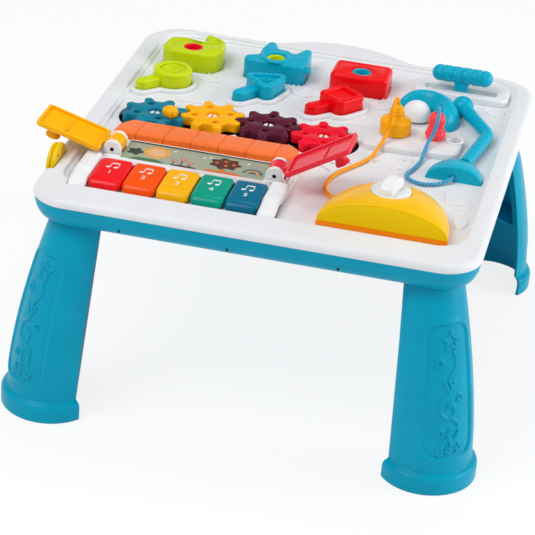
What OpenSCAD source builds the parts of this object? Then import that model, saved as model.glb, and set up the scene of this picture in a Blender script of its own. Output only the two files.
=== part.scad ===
// Musical activity table: a moulded play deck on four hollow legs, with a small piano,
// peek-a-boo doors, meshing gears, lift-out shapes, a toy telephone cord and a toy lamp.
// Origin: on the floor, under the middle of the table. +X right, +Y back, +Z up.

/* [Table] */
// Width of the deck
deck_w = 430; // [424:1:460]
// Depth of the deck, front edge to back shoulders
deck_d = 461; // [456:1:480]
// Height of the rim above the floor
table_h = 228.5; // [180:0.5:320]
// Radius of the front corners
front_r = 38; // [25:1:50]
// Radius of the back corners
back_r = 45; // [25:1:55]
// How far the back edge bows out past its shoulders
arch_h = 25.8; // [10:0.2:32]
// Radius of the bowed back edge
arch_r = 115; // [90:1:140]
// Height of the rim above the play floor
rim_h = 6.5; // [5:0.5:8]
// Width of the front rim
front_rim = 41; // [36:1:42]
// Width of the side and back rims
side_rim = 20; // [16:1:22]
// How far the rim's inner wall leans out
rim_draft = 3; // [2:0.5:3]
// Height of the white edge over the tray
edge_h = 8; // [7:0.5:10]
// Thickness of the play floor
floor_t = 4; // [3.5:0.5:5]
// Wall of the moulded shells
wall = 2.5; // [2:0.1:3]
// Height of the blue tray
tray_h = 22.5; // [22.5:0.5:30]
// How far the tray's sides lean in
tray_lean = 14; // [10:1:16]

/* [Legs] */
// Distance from the deck's side to the middle of a leg
leg_in_x = 26.4; // [24:0.2:30]
// Distance from the deck's front edge to the middle of a front leg
leg_in_front = 19.5; // [15:0.5:24]
// Distance from the deck's shoulders to the middle of a back leg
leg_in_back = 32.5; // [28:0.5:36]
// Angle by which the legs turn out
leg_turn = 35.4; // [25:0.2:45]
// Width of a leg at its top
leg_top_w = 59; // [54:1:62]
// Width of a leg just above its foot
leg_low_w = 84; // [78:1:90]
// Width of the foot
foot_w = 96; // [92:1:100]
// Height of the foot's rim
foot_h = 20; // [14:1:26]
// Bulge of a leg over its width
leg_bulge = 0.49; // [0.4:0.01:0.55]
// How far a leg leans in from its foot to its top
leg_lean = 33; // [28:0.5:36]
// Wall of a leg
leg_wall = 3; // [2.4:0.1:4]

/* [Piano] */
// Width of one key with its gap
key_pitch = 33.4; // [31:0.1:34]
// Gap between keys
key_gap = 1.2; // [0.8:0.1:2]
// Length of a key
key_len = 53; // [48:1:54]
// Height of a key's top over the play floor
key_top = 11; // [10:0.5:12]
// How far a key swings down
key_swing = 2.2; // [1:0.1:2.5]
// Diameter of the key axle
key_axle_d = 3; // [2:0.5:3.5]
// Height of the piano body over the play floor
piano_h = 10; // [9:0.5:10.5]
// Length of the picture panel
panel_w = 142; // [136:1:143]
// Width of the picture panel
panel_d = 42; // [38:1:44]
// Number of tiles in the tile bar
tiles = 7; // [3:1:9]
// Height of the tile bar's front edge over the play floor
tile_h = 17.5; // [14:0.5:20]
// Depth of the tile bar
tile_d = 42; // [36:1:44]

/* [Doors] */
// Width of a door along its hinge
door_w = 44; // [40:1:44]
// Thickness of a door
door_t = 5; // [4:0.2:5]
// Diameter of the hinge barrels
barrel_d = 18; // [16:0.5:19]
// Diameter of the hinge pins
pin_d = 4; // [3:0.5:6]
// Angle of the open left door above level
left_open = 16; // [10:1:30]
// Angle of the open right door above level
right_open = 31.6; // [20:0.2:40]
// Diameter of a door knob
knob_d = 15; // [12:0.5:16]
// Height of a door knob
knob_h = 12; // [8:0.5:12]

/* [Gears] */
// Distance between gear centres
gear_pitch = 58.5; // [57.5:0.1:61]
// Tip diameter of a gear
gear_d = 67; // [66:0.5:68]
// Root diameter of a gear
root_d = 48.6; // [47:0.2:49]
// Number of teeth
teeth = 8;
// Thickness of a gear
gear_t = 10; // [8:0.5:12]
// Bore of a gear
gear_bore = 10.4; // [8:0.2:12]
// Clearance of the gears on their pegs and bosses
run_gap = 0.3; // [0.2:0.05:0.4]
// Diameter of the crank knob
crank_d = 17; // [14:0.5:18]
// Height of the crank knob
crank_h = 11; // [9:0.5:12]

/* [Shapes] */
// Height of the big lift-out blocks
block_h = 20; // [16:1:26]
// Diameter of the hole in a block's core
core_bore = 15; // [12:0.5:16]
// Height of a shape key's head
head_h = 17; // [14:0.5:20]
// Height of a shape key's handle
grip_h = 11; // [9:0.5:13]
// Length of a shape key, head centre to handle end
grip_len = 44; // [38:1:46]
// Width of a shape key's handle
grip_w = 14; // [11:0.5:16]
// Gap round a shape in its well
well_gap = 0.5; // [0.3:0.1:0.8]
// Depth of the wells below the play floor
well_depth = 1; // [0.6:0.2:1.6]
// Height of the lips round the shape keys
lip_h = 4; // [3:0.5:5]
// Width of the lips
lip_w = 6; // [4:0.5:7]

/* [Telephone and lamp] */
// Height of the socket plateau
socket_h = 7; // [6:0.5:8]
// Diameter of a plug's stem
stem_d = 12; // [10:0.5:14]
// Depth of the sockets
socket_depth = 5; // [4:0.5:6]
// Diameter of the cords
cord_d = 4; // [3:0.5:5]
// Half the width of the yellow dome
dome_a = 62.5; // [58:0.5:66]
// Depth of the yellow dome
dome_b = 92; // [84:1:96]
// Height of the yellow dome
dome_c = 25; // [22:0.5:28]
// Height of the orange band under the dome
band_h = 5.5; // [4:0.5:8]
// Diameter of the dial
dial_d = 38; // [32:1:40]
// Diameter of the lamp's arm
arm_d = 13; // [10:0.5:14]
// Radius of the lamp's bulb
bulb_r = 15; // [12:0.5:16]
// Outer radius of the lamp's shade
shade_r = 42; // [38:0.5:44]
// Height of the lamp's shade
shade_h = 24; // [20:0.5:28]
// How far the bulb button pushes down
bulb_push = 2.5; // [1.5:0.1:3]

/* [Slider and wheel] */
// Length of the slider's grip
slider_len = 65; // [50:1:70]
// Diameter of the slider's grip
slider_d = 17.5; // [14:0.5:19]
// Width of the slider's post
post_w = 14; // [10:0.5:16]
// Length of the slider's track
track_len = 76; // [60:1:80]
// Diameter of the side wheel
wheel_d = 43; // [38:0.5:44]
// Thickness of the side wheel
wheel_t = 9; // [7:0.5:10]

/* [Hidden] */
$fn = 48;

// Heights that everything on the deck stands on
floor_z = table_h - rim_h;
under_z = floor_z - floor_t;
part_z = table_h - edge_h;
tray_z = part_z - tray_h;
tray_floor = tray_z + wall;

// The deck's outline
half_w = deck_w/2;
front_y = -deck_d/2 + 1;
back_y = front_y + deck_d;
arch_blend = 40;
arch_cy = back_y + arch_h - arch_r;
blend_cy = back_y + arch_blend;
blend_x = sqrt(pow(arch_r + arch_blend, 2) - pow(blend_cy - arch_cy, 2));
blend_a = atan2(blend_cy - arch_cy, blend_x);

// Small running and seating gaps
gap = 0.3;
screw_d = 3;
screw_head = 6;

function unit(v) = v/norm(v);
function polar(r, a) = [r*cos(a), r*sin(a)];
function turned(p, a) = [p.x*cos(a) - p.y*sin(a), p.x*sin(a) + p.y*cos(a)];
function placed(pts, at, a=0) = [for (p = pts) at + turned(p, a)];
function flat(pts, z) = [for (p = pts) [p.x, p.y, z]];
function arc(c, r, a0, a1, n) = [for (i = [0:n]) c + polar(r, a0 + (a1 - a0)*i/n)];

// Corners [x, y, radius] turned into an outline, with n steps round each corner
function rounded(c, n=4) = [for (i = [0:len(c) - 1])
    let (p = [c[i].x, c[i].y], r = c[i].z,
        before = c[(i + len(c) - 1)%len(c)], after = c[(i + 1)%len(c)],
        u = unit([before.x, before.y] - p), v = unit([after.x, after.y] - p),
        half = acos(max(-1, min(1, u*v)))/2,
        mid = p + unit(u + v)*r/sin(half),
        s = p + u*r/tan(half) - mid, e = p + v*r/tan(half) - mid,
        a0 = atan2(s.y, s.x), d = atan2(e.y, e.x) - a0,
        turn = d > 180 ? d - 360 : d < -180 ? d + 360 : d)
    each (r == 0 ? [p] : arc(mid, r, a0, a0 + turn, n))];

// An outline moved inwards by d, point by point
function inset(pts, d) = [for (i = [0:len(pts) - 1])
    let (n = len(pts), p = pts[i], a = pts[(i + n - 1)%n], b = pts[(i + 1)%n],
        u = unit(p - a), v = unit(b - p), m = unit([-u.y - v.y, u.x + v.x]))
    p + m*d/max(0.6, m*[-u.y, u.x])];

// A skin over a stack of rings with equal numbers of points, closed at both ends
module loft(rings) {
    n = len(rings[0]);
    last = len(rings) - 1;
    polyhedron([for (ring = rings) each ring],
        concat([[for (i = [0:n - 1]) i]],
            [for (k = [0:last - 1], i = [0:n - 1])
                let (j = (i + 1)%n) each [[k*n + i, (k + 1)*n + i, (k + 1)*n + j],
                    [k*n + i, (k + 1)*n + j, k*n + j]]],
            [[for (i = [n - 1:-1:0]) last*n + i]]), convexity=8);
}

// A straight-sided solid over an outline with a rounded top edge of radius r
module soft_prism(pts, z0, z1, r, steps=3) {
    loft(concat([flat(pts, z0)],
        [for (i = [0:steps]) let (a = 90*i/steps)
            flat(inset(pts, r*(1 - cos(a))), z1 - r + r*sin(a))]));
}

// A closed band of rounded edge, let into the top of a prism of the same outline
module soft_edge(pts, z, r, n=3) {
    rings = concat([flat(inset(pts, 0.05), z - r - 0.5)],
        [for (i = [0:n]) flat(inset(pts, 0.05 + r*(1 - cos(90*i/n))), z - r + r*sin(90*i/n))],
        [flat(inset(pts, r + 0.4), z), flat(inset(pts, r + 0.4), z - r - 0.5)]);
    m = len(pts);
    polyhedron([for (ring = rings) each ring],
        [for (k = [0:n + 3], i = [0:m - 1]) let (j = (i + 1)%m, l = (k + 1)%(n + 4))
            each [[k*m + i, l*m + i, l*m + j], [k*m + i, l*m + j, k*m + j]]], convexity=8);
}

// A straight-sided solid over a convex outline about the origin, its top edge bevelled by r
module bevel_prism(pts, z0, z1, r) {
    reach = [max([for (p = pts) p.x]), max([for (p = pts) p.y])];
    at_z(z0) linear_extrude(z1 - r - z0) polygon(pts);
    at_z(z1 - r) linear_extrude(r, scale=[1 - r/reach.x, 1 - r/reach.y], slices=1) polygon(pts);
}

// A straight prism over an outline
module slab(pts, z0, z1) {
    translate([0, 0, z0]) linear_extrude(z1 - z0) polygon(pts);
}

module at_z(z) {
    translate([0, 0, z]) children();
}

module hole(p, d, z0, z1) {
    translate([p.x, p.y, z0]) cylinder(d=d, h=z1 - z0);
}

// A quarter ellipsoid: flat face at the front, flat base, rounded back
function half_oval(a, b, n=20) = [for (i = [0:n]) [a*cos(180*i/n), b*sin(180*i/n)]];
module quarter_dome(a, b, c, steps=8) {
    loft([for (i = [0:steps]) let (t = 88*i/steps) flat(half_oval(a*cos(t), b*cos(t)), c*sin(t))]);
}

// ---- Deck, tray and legs ----

function deck_outline(d) = concat(
    arc([half_w - front_r, front_y + front_r], front_r - d, -90, 0, 7),
    arc([half_w - back_r, back_y - back_r], back_r - d, 0, 90, 7),
    arc([blend_x, blend_cy], arch_blend + d, -90, blend_a - 180, 4),
    arc([0, arch_cy], arch_r - d, blend_a, 180 - blend_a, 10),
    arc([-blend_x, blend_cy], arch_blend + d, -blend_a, -90, 4),
    arc([-half_w + back_r, back_y - back_r], back_r - d, 90, 180, 7),
    arc([-half_w + front_r, front_y + front_r], front_r - d, 180, 270, 7));

floor_front = front_y + front_rim;
floor_x = half_w - side_rim;
floor_back = back_y - side_rim/2;
function floor_outline(d) = rounded([[-floor_x + d, floor_front + d, 30], [floor_x - d, floor_front + d, 30],
    [floor_x - d, floor_back - d, 34], [-floor_x + d, floor_back - d, 34]], 6);

// Plan positions on the deck
gear_at = [let (y = [-93.5, 13.1]) y + polar(gear_pitch, 193.9), [-93.5, 13.1],
    [-93.5 + gear_pitch, 13.1], [-93.5 + gear_pitch, 13.1] + polar(gear_pitch, -5.4)];
gear_phase = [27.8, 22.5, 0, 11.7];
pit_d = gear_d + 6;
gear_top = floor_z + 8;
gear_z = gear_top - gear_t;
piano_x = -84.3;
piano_front = -191.5;
key_front = -184.5;
key_back = key_front + key_len;
keys_w = 5*key_pitch;
cheek_w = 17.5;
panel_z = floor_z + piano_h - 1.5;
panel_front = -123.5;
panel_at = [-81, panel_front + panel_d/2];
tile_front = panel_front + panel_d + 0.7;
door_front = -131.5;
hinge_z = floor_z + piano_h + 4;
hinge_x = [-161.5, 0.3];
door_near = [10.5, 15];
door_meet = -84.6;
ear_front = -119;
ear_back = -92;
ear_t = 4.7;
block_at = [[-149, 145], [-59, 148], [33, 152]];
tool_at = [[-156, 88], [-58, 100], [24, 92]];
tool_turn = [228, 234, 226];
socket_at = [[90, 42.5], [131, 43.5], [151.5, 44.5]];
dome_at = [116.5, -177];
dial_at = [116.5, -138];
lamp_base_at = [163, -36.5];
bulb_at = [103, 98];
shade_at = [107, 96.5];
boss_at = [147, 122.5];
slider_at = [137.5, 176];
wheel_at = [-half_w + 4, -141];
wheel_z = floor_z;
slot_t = wheel_t + 2;
axle_d = 4.6;
axle_len = 16;

module deck_shell() {
    color("#E6E8EA") difference() {
        union() {
            rim();
            at_z(under_z) linear_extrude(floor_t - well_depth) difference() {
                polygon(deck_outline(tray_lean/2 + wall));
                floor_openings();
            }
            at_z(floor_z - well_depth) linear_extrude(well_depth) difference() {
                polygon(deck_outline(tray_lean/2 + wall));
                floor_openings();
                for (i = [0:2]) polygon(inset(block_plan(i), -well_gap));
                for (i = [0:2]) tool_plan(i, well_gap);
            }
            tool_lips();
            socket_plateau();
            slider_plateau();
            deck_posts();
        }
        wheel_cut();
        axle_hole(-0.01);
    }
}

table_sockets = floor_z + socket_h;
track_z = floor_z + 8;

// The raised border, rounded outside and drafted inside
module rim() {
    difference() {
        loft([flat(deck_outline(0.4), part_z), flat(deck_outline(0), part_z + 1),
            flat(deck_outline(0), table_h - 5), flat(deck_outline(1.4), table_h - 1.8),
            flat(deck_outline(4), table_h - 0.3), flat(deck_outline(8), table_h)]);
        loft([flat(floor_outline(rim_draft), part_z - 1), flat(floor_outline(rim_draft), floor_z),
            flat(floor_outline(0), table_h + 0.1)]);
        slab(inset(housing_outline(), -0.2), part_z - 1, table_h + 1);
    }
}

// Everything cut right through the play floor
module floor_openings() {
    for (p = gear_at) translate(p) circle(d=pit_d);
    translate([slider_at.x - track_len/2 + 3, slider_at.y - 3.2]) square([track_len - 6, 6.4]);
    translate(bulb_at) circle(d=9);
    for (i = [0:2]) translate([27 + 8*i, -67 + 12*i])
        polygon(concat(arc([0, 0], 20, 30, 80, 6), arc([0, 0], 17.4, 80, 30, 6)));
}

module tool_lips() {
    for (i = [0:2]) at_z(floor_z - 0.2) linear_extrude(lip_h + 0.2) difference() {
        tool_plan(i, lip_w);
        tool_plan(i, well_gap);
    }
}

// Raised ground that carries the sockets
module socket_plateau() {
    difference() {
        soft_prism(rounded([[60, 5, 12], [160, 10, 12], [160, 66, 16], [60, 66, 16]]), floor_z - 0.2,
            table_sockets, 3);
        for (p = socket_at) hole(p, stem_d + 0.6, table_sockets - socket_depth, table_sockets + 1);
    }
}

// Raised ground with the slider's track
module slider_plateau() {
    x = track_len/2;
    difference() {
        soft_prism(rounded([[slider_at.x - x - 13, slider_at.y - 15, 10],
            [slider_at.x + x + 13, slider_at.y - 15, 10],
            [slider_at.x + x + 13, slider_at.y + 26, 16], [slider_at.x - x - 13, slider_at.y + 26, 16]]),
            floor_z - 0.2, track_z, 3);
        translate([slider_at.x - x, slider_at.y - post_w/2 + 1, floor_z + 2])
            cube([track_len, post_w - 2, 20]);
        translate([slider_at.x - x + 3, slider_at.y - 3.2, floor_z - 1]) cube([track_len - 6, 6.4, 20]);
    }
}

// The blind hole that grips the side wheel's axle
module axle_hole(extra) {
    translate([wheel_at.x, wheel_at.y, wheel_z]) rotate([0, 90, 0])
        cylinder(d=axle_d + extra, h=axle_len - wheel_t/2);
}

module wheel_cut() {
    translate([wheel_at.x - slot_t/2 - 5, wheel_at.y - wheel_d/2 - 3, under_z - 1])
        cube([slot_t + 5, wheel_d + 6, edge_h + 20]);
}

// Hollow posts that take the case screws, at the corners and the middle of the sides
case_screw_at = [for (x = [-165, 165], y = [-150, 60, 205]) [x, y]];
module deck_posts() {
    for (p = case_screw_at) difference() {
        hole(p, 8, tray_floor + 6, under_z + 0.5);
        hole(p, screw_d - 0.2, tray_floor + 5, under_z - 1);
    }
}

module skirt_tray() {
    color("#12A3C2") difference() {
        union() {
            difference() {
                loft([for (i = [0:4]) let (t = i/4)
                    flat(deck_outline(1 + tray_lean*(1 - sin(90*t))), tray_z + tray_h*(1 - cos(90*t)))]);
                loft([for (i = [0:4]) let (t = i/4)
                    flat(deck_outline(1 + wall + tray_lean*(1 - sin(90*t))),
                        tray_floor + (tray_h - wall)*(1 - cos(90*t)) + (i == 4 ? 0.1 : 0))]);
            }
            for (p = case_screw_at) hole(p, 11, tray_floor - 0.5, tray_floor + 5.7);
            for (p = leg_screw_at) hole(p, 8, tray_floor - 0.5, under_z - gap);
            wheel_well();
        }
        for (p = case_screw_at) {
            hole(p, screw_d + 0.4, tray_z - 1, tray_floor + 8);
            hole(p, screw_head + 0.8, tray_z - 1, tray_floor + 2.4);
        }
        for (p = leg_screw_at) hole(p, screw_d - 0.2, tray_z - 1, tray_z + 14);
        translate([wheel_at.x - slot_t/2 - 9, wheel_at.y - wheel_d/2 - 3, tray_z - 1])
            cube([slot_t + 9, wheel_d + 6, tray_h + 2]);
        battery_space();
    }
}

// The wall inside the tray that closes it off beside the wheel
module wheel_well() {
    inner = wheel_at.x + slot_t/2;
    translate([inner, wheel_at.y - wheel_d/2 - 5, tray_floor - 0.5])
        cube([2, wheel_d + 10, under_z - tray_floor]);
}

battery_at = [70, -112];
battery_w = 62;
battery_d = 56;
module battery_space() {
    translate([battery_at.x - battery_w/2, battery_at.y - battery_d/2, tray_z - 1])
        cube([battery_w, battery_d, wall + 2]);
}

module battery_door() {
    color("#1296B4") difference() {
        translate([battery_at.x - battery_w/2 + gap, battery_at.y - battery_d/2 + gap, tray_z])
            cube([battery_w - 2*gap, battery_d - 2*gap, wall]);
        for (i = [-2:2]) translate([battery_at.x - 14, battery_at.y + battery_d/2 - 12 + 2.4*i, tray_z - 1])
            cube([28, 1.2, 1.8]);
        hole([battery_at.x, battery_at.y - battery_d/2 + 6], screw_d + 0.4, tray_z - 1, tray_z + wall + 1);
    }
}

// Three cells side by side on the battery door
cell_d = 14.5;
module battery_cells() {
    color("#3A4048") for (i = [-1:1])
        translate([battery_at.x - 25, battery_at.y + i*(cell_d + 0.6), tray_floor + gap + cell_d/2 + 0.2])
            rotate([0, 90, 0]) {
                cylinder(d=cell_d, h=49.2);
                cylinder(d=5.5, h=50.5);
            }
}

// ---- Legs ----

leg_top = tray_z;
leg_at = [[-half_w + leg_in_x, front_y + leg_in_front], [half_w - leg_in_x, front_y + leg_in_front],
    [-half_w + leg_in_x, back_y - leg_in_back], [half_w - leg_in_x, back_y - leg_in_back]];
leg_out = [-90 - leg_turn, -90 + leg_turn, 90 + leg_turn, 90 - leg_turn];
screw_out = 11 - leg_lean;
leg_screw_at = [for (i = [0:3], s = [-1, 1])
    leg_at[i] + polar(screw_out, leg_out[i]) + polar(s*13, leg_out[i] + 90)];

// How far up the leg's curve a height is: slow at the foot, fast under the deck
function leg_rise(z) = pow(max(0, (z - foot_h)/(leg_top - foot_h)), 1.6);
function leg_half(z) = (leg_low_w + (leg_top_w - leg_low_w)*leg_rise(z))/2;

// A bowed section with its flat side on the table's side, cut to the angles +-span
function leg_arc(a, b, span, n, x) = [for (i = [0:n]) let (t = -span + 2*span*i/n) [x + b*cos(t), a*sin(t)]];
function leg_ring(half, t_in, t_out, span, z, n=14) = let (x = -leg_lean*leg_rise(z)) flat(concat(
    leg_arc(half + t_out, half*2*leg_bulge + t_out, span, n, x),
    [for (i = [n:-1:0]) leg_arc(half - t_in, half*2*leg_bulge - t_in, span, n, x)[i]]), z);

module leg(i) {
    color("#12A3C2") translate([leg_at[i].x, leg_at[i].y, 0]) rotate([0, 0, leg_out[i]]) difference() {
        union() {
            loft([for (k = [0:6]) let (z = foot_h - 4 + (leg_top - foot_h + 4)*k/6)
                leg_ring(leg_half(z), leg_wall, 0, 90, z)]);
            foot_step();
            leg_plate(leg_top - leg_wall, leg_top, 0);
            for (z = [0.4, 0.72]) leg_plate(leg_top*z, leg_top*z + 2.4, 1.5);
        }
        loft([for (k = [0:3]) let (z = panel_low + (panel_high - panel_low)*k/3)
            leg_ring(leg_half(z), 1.2, 4, 42, z, 8)]);
        for (s = [-1, 1]) hole([screw_out, s*13], screw_d + 0.4, leg_top - 10, leg_top + 1);
    }
}
panel_low = foot_h + 16;
panel_high = leg_top - 34;

// The foot's thick rim, stepped in above the floor and rounded over at its top
module foot_step() {
    half = foot_w/2;
    loft([leg_ring(half - 0.8, leg_wall + 1, 0, 90, 0), leg_ring(half, leg_wall + 2, 0, 90, 1),
        leg_ring(half, leg_wall + 2, 0, 90, foot_h - 6),
            leg_ring(half - 1.2, leg_wall + 1, 0, 90, foot_h - 2.5),
        leg_ring(half - 4, leg_wall - 1, 0, 90, foot_h - 0.4),
            leg_ring(leg_low_w/2, leg_wall, 0, 90, foot_h + 1)]);
}

// A closing plate across the leg
module leg_plate(z0, z1, in) {
    half = leg_half(z0) - in;
    slab(leg_arc(half - 0.5, (half - 0.5)*2*leg_bulge, 90, 14, -leg_lean*leg_rise(z0)), z0, z1);
}

module leg_screws() {
    color("#B8BCC2") for (p = leg_screw_at) {
        hole(p, screw_head, leg_top - leg_wall - 2, leg_top - leg_wall);
        hole(p, screw_d - 0.2, leg_top - leg_wall - 1, leg_top + 12);
    }
}

module case_screws() {
    color("#B8BCC2") for (p = case_screw_at) {
        hole(p, screw_head, tray_floor + 0.4, tray_floor + 2.4);
        hole(p, screw_d - 0.2, tray_floor + 2, under_z - 1);
    }
}

// ---- Gears ----

gear_floor = under_z - 3;
peg_top = gear_top - 2.4;

module gear_tray() {
    color("#17181A") difference() {
        for (p = gear_at) hole(p, pit_d + 5, gear_floor - 2, under_z);
        for (p = gear_at) hole(p, pit_d, gear_floor, under_z + 1);
    }
    color("#17181A") for (p = gear_at) difference() {
        hole(p, 20, gear_floor - 0.5, gear_z - run_gap);
        hole(p, 6.4, gear_floor - 3, gear_top);
    }
}

module gear_pegs() {
    color("white") for (p = gear_at) difference() {
        union() {
            hole(p, gear_bore - 2*run_gap, gear_z - run_gap, peg_top - 1);
            hole(p, gear_bore - 2, gear_z, peg_top);
            hole(p, 6.4, gear_floor, gear_z + 1);
        }
        translate([p.x - 0.8, p.y - 8, gear_z + 3]) cube([1.6, 16, 20]);
    }
}

// Round teeth: each is a bump of the tip radius with a round valley beside it
function gear_plan() = rounded([for (i = [0:teeth - 1]) let (a = 360*i/teeth, s = 360/teeth)
    each [concat(polar(root_d/2, a - s*0.3), 4), concat(polar(gear_d/2, a - s*0.15), 4),
        concat(polar(gear_d/2, a + s*0.15), 4), concat(polar(root_d/2, a + s*0.3), 4)]], 2);

module gear(i) {
    translate(gear_at[i]) rotate([0, 0, gear_phase[i]]) difference() {
        bevel_prism(gear_plan(), gear_z, gear_top, 1.5);
        hole([0, 0], gear_bore, gear_z - 1, gear_top + 1);
        hole([0, 0], gear_bore + 4, gear_top - 4, gear_top + 1);
        for (k = [0:3]) hole(polar(18.5, 90*k), 7.5, gear_top - 6, gear_top + 1);
    }
}

module gear_teal() { color("#0A7F9B") gear(0); }
module gear_yellow() { color("#FFB800") gear(1); }
module gear_purple() { color("#6B1F3A") gear(2); }
module gear_red() { color("#F5142D") gear(3); }

// The crank knob on the first gear: eight shallow lobes, drawn in at the foot and bevelled at the top
crank_foot = 1.5;
crank_round = 3;
module crank_knob() {
    at = gear_at[0] + polar(20, -26);
    lobes = [for (a = [0:9:351]) polar(crank_d/2 - 0.7 + 0.7*cos(8*a), a)];
    color("#FFC000") translate([at.x, at.y, gear_top]) {
        at_z(crank_foot) mirror([0, 0, 1]) linear_extrude(crank_foot, scale=0.7, slices=1) polygon(lobes);
        at_z(crank_foot) linear_extrude(crank_h - crank_foot - crank_round) polygon(lobes);
        at_z(crank_h - crank_round) linear_extrude(crank_round, scale=0.5, slices=1) polygon(lobes);
    }
}

// ---- Piano ----

// Side of a key, from its hinge forward: [distance from the front, height over the play floor]
function key_side() = concat([[key_len, 3.5], [key_len, key_top], [key_len*0.55, key_top + 0.4]],
    arc([11, key_top - 9.6], 10, 80, 180, 8), [[1, 3]]);

module key(i) {
    x0 = piano_x - keys_w/2 + i*key_pitch + key_gap/2;
    w = key_pitch - key_gap;
    color(["#FF1420", "#FF5500", "#FFC000", "#009B84", "#006B8C"][i]) difference() {
        union() {
            translate([x0, 0, floor_z]) rotate([90, 0, 90]) linear_extrude(w)
                polygon([for (p = key_side()) [key_front + p.x, p.y]]);
            for (s = [0.25, 0.75]) translate([x0 + s*w - 2, key_back - 1, key_axle_z - 2.8])
                cube([4, 8.8, 5.6]);
        }
        translate([x0 + 2, key_front + 4, floor_z + 2]) cube([w - 4, key_len - 8, key_top - 5]);
        translate([x0 - 1, key_axle_y, key_axle_z]) rotate([0, 90, 0]) cylinder(d=key_axle_d + 0.3, h=w + 2);
    }
    color("#F2F2F2") translate([x0 + w/2 - 5, key_front + key_len*0.45, floor_z + 2.4])
        cube([10, 8, key_top - 5]);
}
key_axle_y = key_back + 5.5;
key_axle_z = floor_z + 4.6;

module key_1() { key(0); }
module key_2() { key(1); }
module key_3() { key(2); }
module key_4() { key(3); }
module key_5() { key(4); }

module key_axle() {
    color("#B8BCC2") translate([piano_x - keys_w/2 - 4, key_axle_y, key_axle_z]) rotate([0, 90, 0])
        cylinder(d=key_axle_d, h=keys_w + 8);
}

// Rubber buttons that the keys press
module key_pads() {
    color("#4A4E55") for (i = [0:4])
        hole([piano_x - keys_w/2 + (i + 0.5)*key_pitch, key_front + key_len*0.45 + 4], 9, floor_z,
            floor_z + 2.4 - gap - key_swing*0.5);
}

// Side view of a cheek: rounded arm that slopes down to the front
function cheek_side() = concat([[-126, 0], [-126, piano_h + 2.5]],
    arc([piano_front + 33, piano_h - 22], 25, 78, 112, 6),
    arc([piano_front + 9, 0.5], 9, 100, 180, 5), [[piano_front, 0]]);

function housing_outline() = let (x = keys_w/2 + cheek_w)
    rounded([[piano_x - x, piano_front, 1.5], [piano_x + x, piano_front, 1.5],
        [piano_x + x, tile_front - 0.3, 6], [piano_x - x, tile_front - 0.3, 6]]);

module piano_housing() {
    left = piano_x - keys_w/2;
    right = piano_x + keys_w/2;
    top = floor_z + piano_h;
    color("#F0F1F3") difference() {
        union() {
            slab(housing_outline(), floor_z, floor_z + 3);
            slab(rounded([[left - cheek_w + 2, key_back - 4, 5], [right + cheek_w - 2, key_back - 4, 5],
                [right + cheek_w - 2, tile_front - 0.3, 4], [left - cheek_w + 2, tile_front - 0.3, 4]]),
                    floor_z, top);
            for (x = [left - cheek_w, right]) translate([x, 0, floor_z]) rotate([90, 0, 90])
                linear_extrude(cheek_w) polygon(cheek_side());
            for (k = [0, 1]) hinge_ears(k);
        }
        translate([left + 0.2, key_front - 3, floor_z - 1]) cube([keys_w - 0.4, key_len + 4, 30]);
        translate([left + 0.2, key_back, floor_z - 1]) cube([keys_w - 0.4, 12, piano_h - 0.8]);
        translate([left - 5, key_axle_y, key_axle_z]) rotate([0, 90, 0])
            cylinder(d=key_axle_d, h=keys_w + 10);
        translate([panel_at.x - panel_w/2 - 0.1, panel_front - 0.1, panel_z - 1.5])
            cube([panel_w + 0.2, panel_d + 0.2, 9]);
        for (k = [0, 1]) knuckle_room(k);
        for (k = [0, 1]) translate([hinge_x[k], ear_front - 0.1, hinge_z]) rotate([-90, 0, 0])
            cylinder(d=pin_d, h=ear_back - ear_front + 0.2);
    }
}

// Two round ears that hold a hinge pin
module hinge_ears(k) {
    for (y = [ear_front, ear_back - ear_t]) translate([hinge_x[k], y + ear_t, floor_z + 2])
        rotate([90, 0, 0])
        linear_extrude(ear_t) polygon(concat(arc([0, hinge_z - floor_z - 2], barrel_d/2, 0, 180, 20),
            [[-barrel_d/2, 0], [barrel_d/2, 0]]));
}

module knuckle_room(k) {
    translate([hinge_x[k], ear_front + ear_t, hinge_z]) rotate([-90, 0, 0])
        cylinder(d=barrel_d + 3, h=ear_back - ear_front - 2*ear_t);
    translate([k == 0 ? hinge_x[k] - 20 : hinge_x[k], ear_front + ear_t, floor_z + 6.5])
        cube([20, ear_back - ear_front - 2*ear_t, 20]);
}

module door_pins() {
    color("#C4C8CE") for (k = [0, 1]) translate([hinge_x[k], ear_front, hinge_z]) rotate([-90, 0, 0])
        cylinder(d=pin_d, h=ear_back - ear_front);
}

// A door in its own plane: x runs out from the hinge, the tray side is up
module door(k, len) {
    near = door_near[k];
    difference() {
        union() {
            slab(rounded([[near, door_front, 3], [len, door_front, 4], [len, door_front + door_w, 4],
                [near, door_front + door_w, 3]]), -door_t/2, door_t/2);
            translate([0, ear_front + ear_t + gap, 0]) rotate([-90, 0, 0])
                cylinder(d=barrel_d, h=ear_back - ear_front - 2*ear_t - 2*gap);
            translate([0, ear_front + ear_t + gap, -door_t/2])
                cube([near + 2, ear_back - ear_front - 2*ear_t - 2*gap, door_t]);
            translate([len - 17, door_front + 16, -door_t/2 - knob_h]) cylinder(d=knob_d, h=knob_h + 1);
        }
        slab(rounded([[near + 3, door_front + 3, 2], [len - 3, door_front + 3, 2],
            [len - 3, door_front + door_w - 3, 2], [near + 3, door_front + door_w - 3, 2]]), 0.2, door_t);
        translate([0, ear_front - 1, 0]) rotate([-90, 0, 0]) cylinder(d=pin_d + 0.4, h=40);
        translate([0, 0, -door_t/2 - knob_h]) translate([len - 17, door_front + 16, 0]) rotate_extrude()
            polygon(concat([[knob_d/2 + 1, 1.5]], arc([knob_d/2 + 2.2, knob_h/2 + 1.5], 4.2, 115, 245, 6),
                [[knob_d/2 + 1, knob_h - 0.2]]));
    }
}

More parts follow.
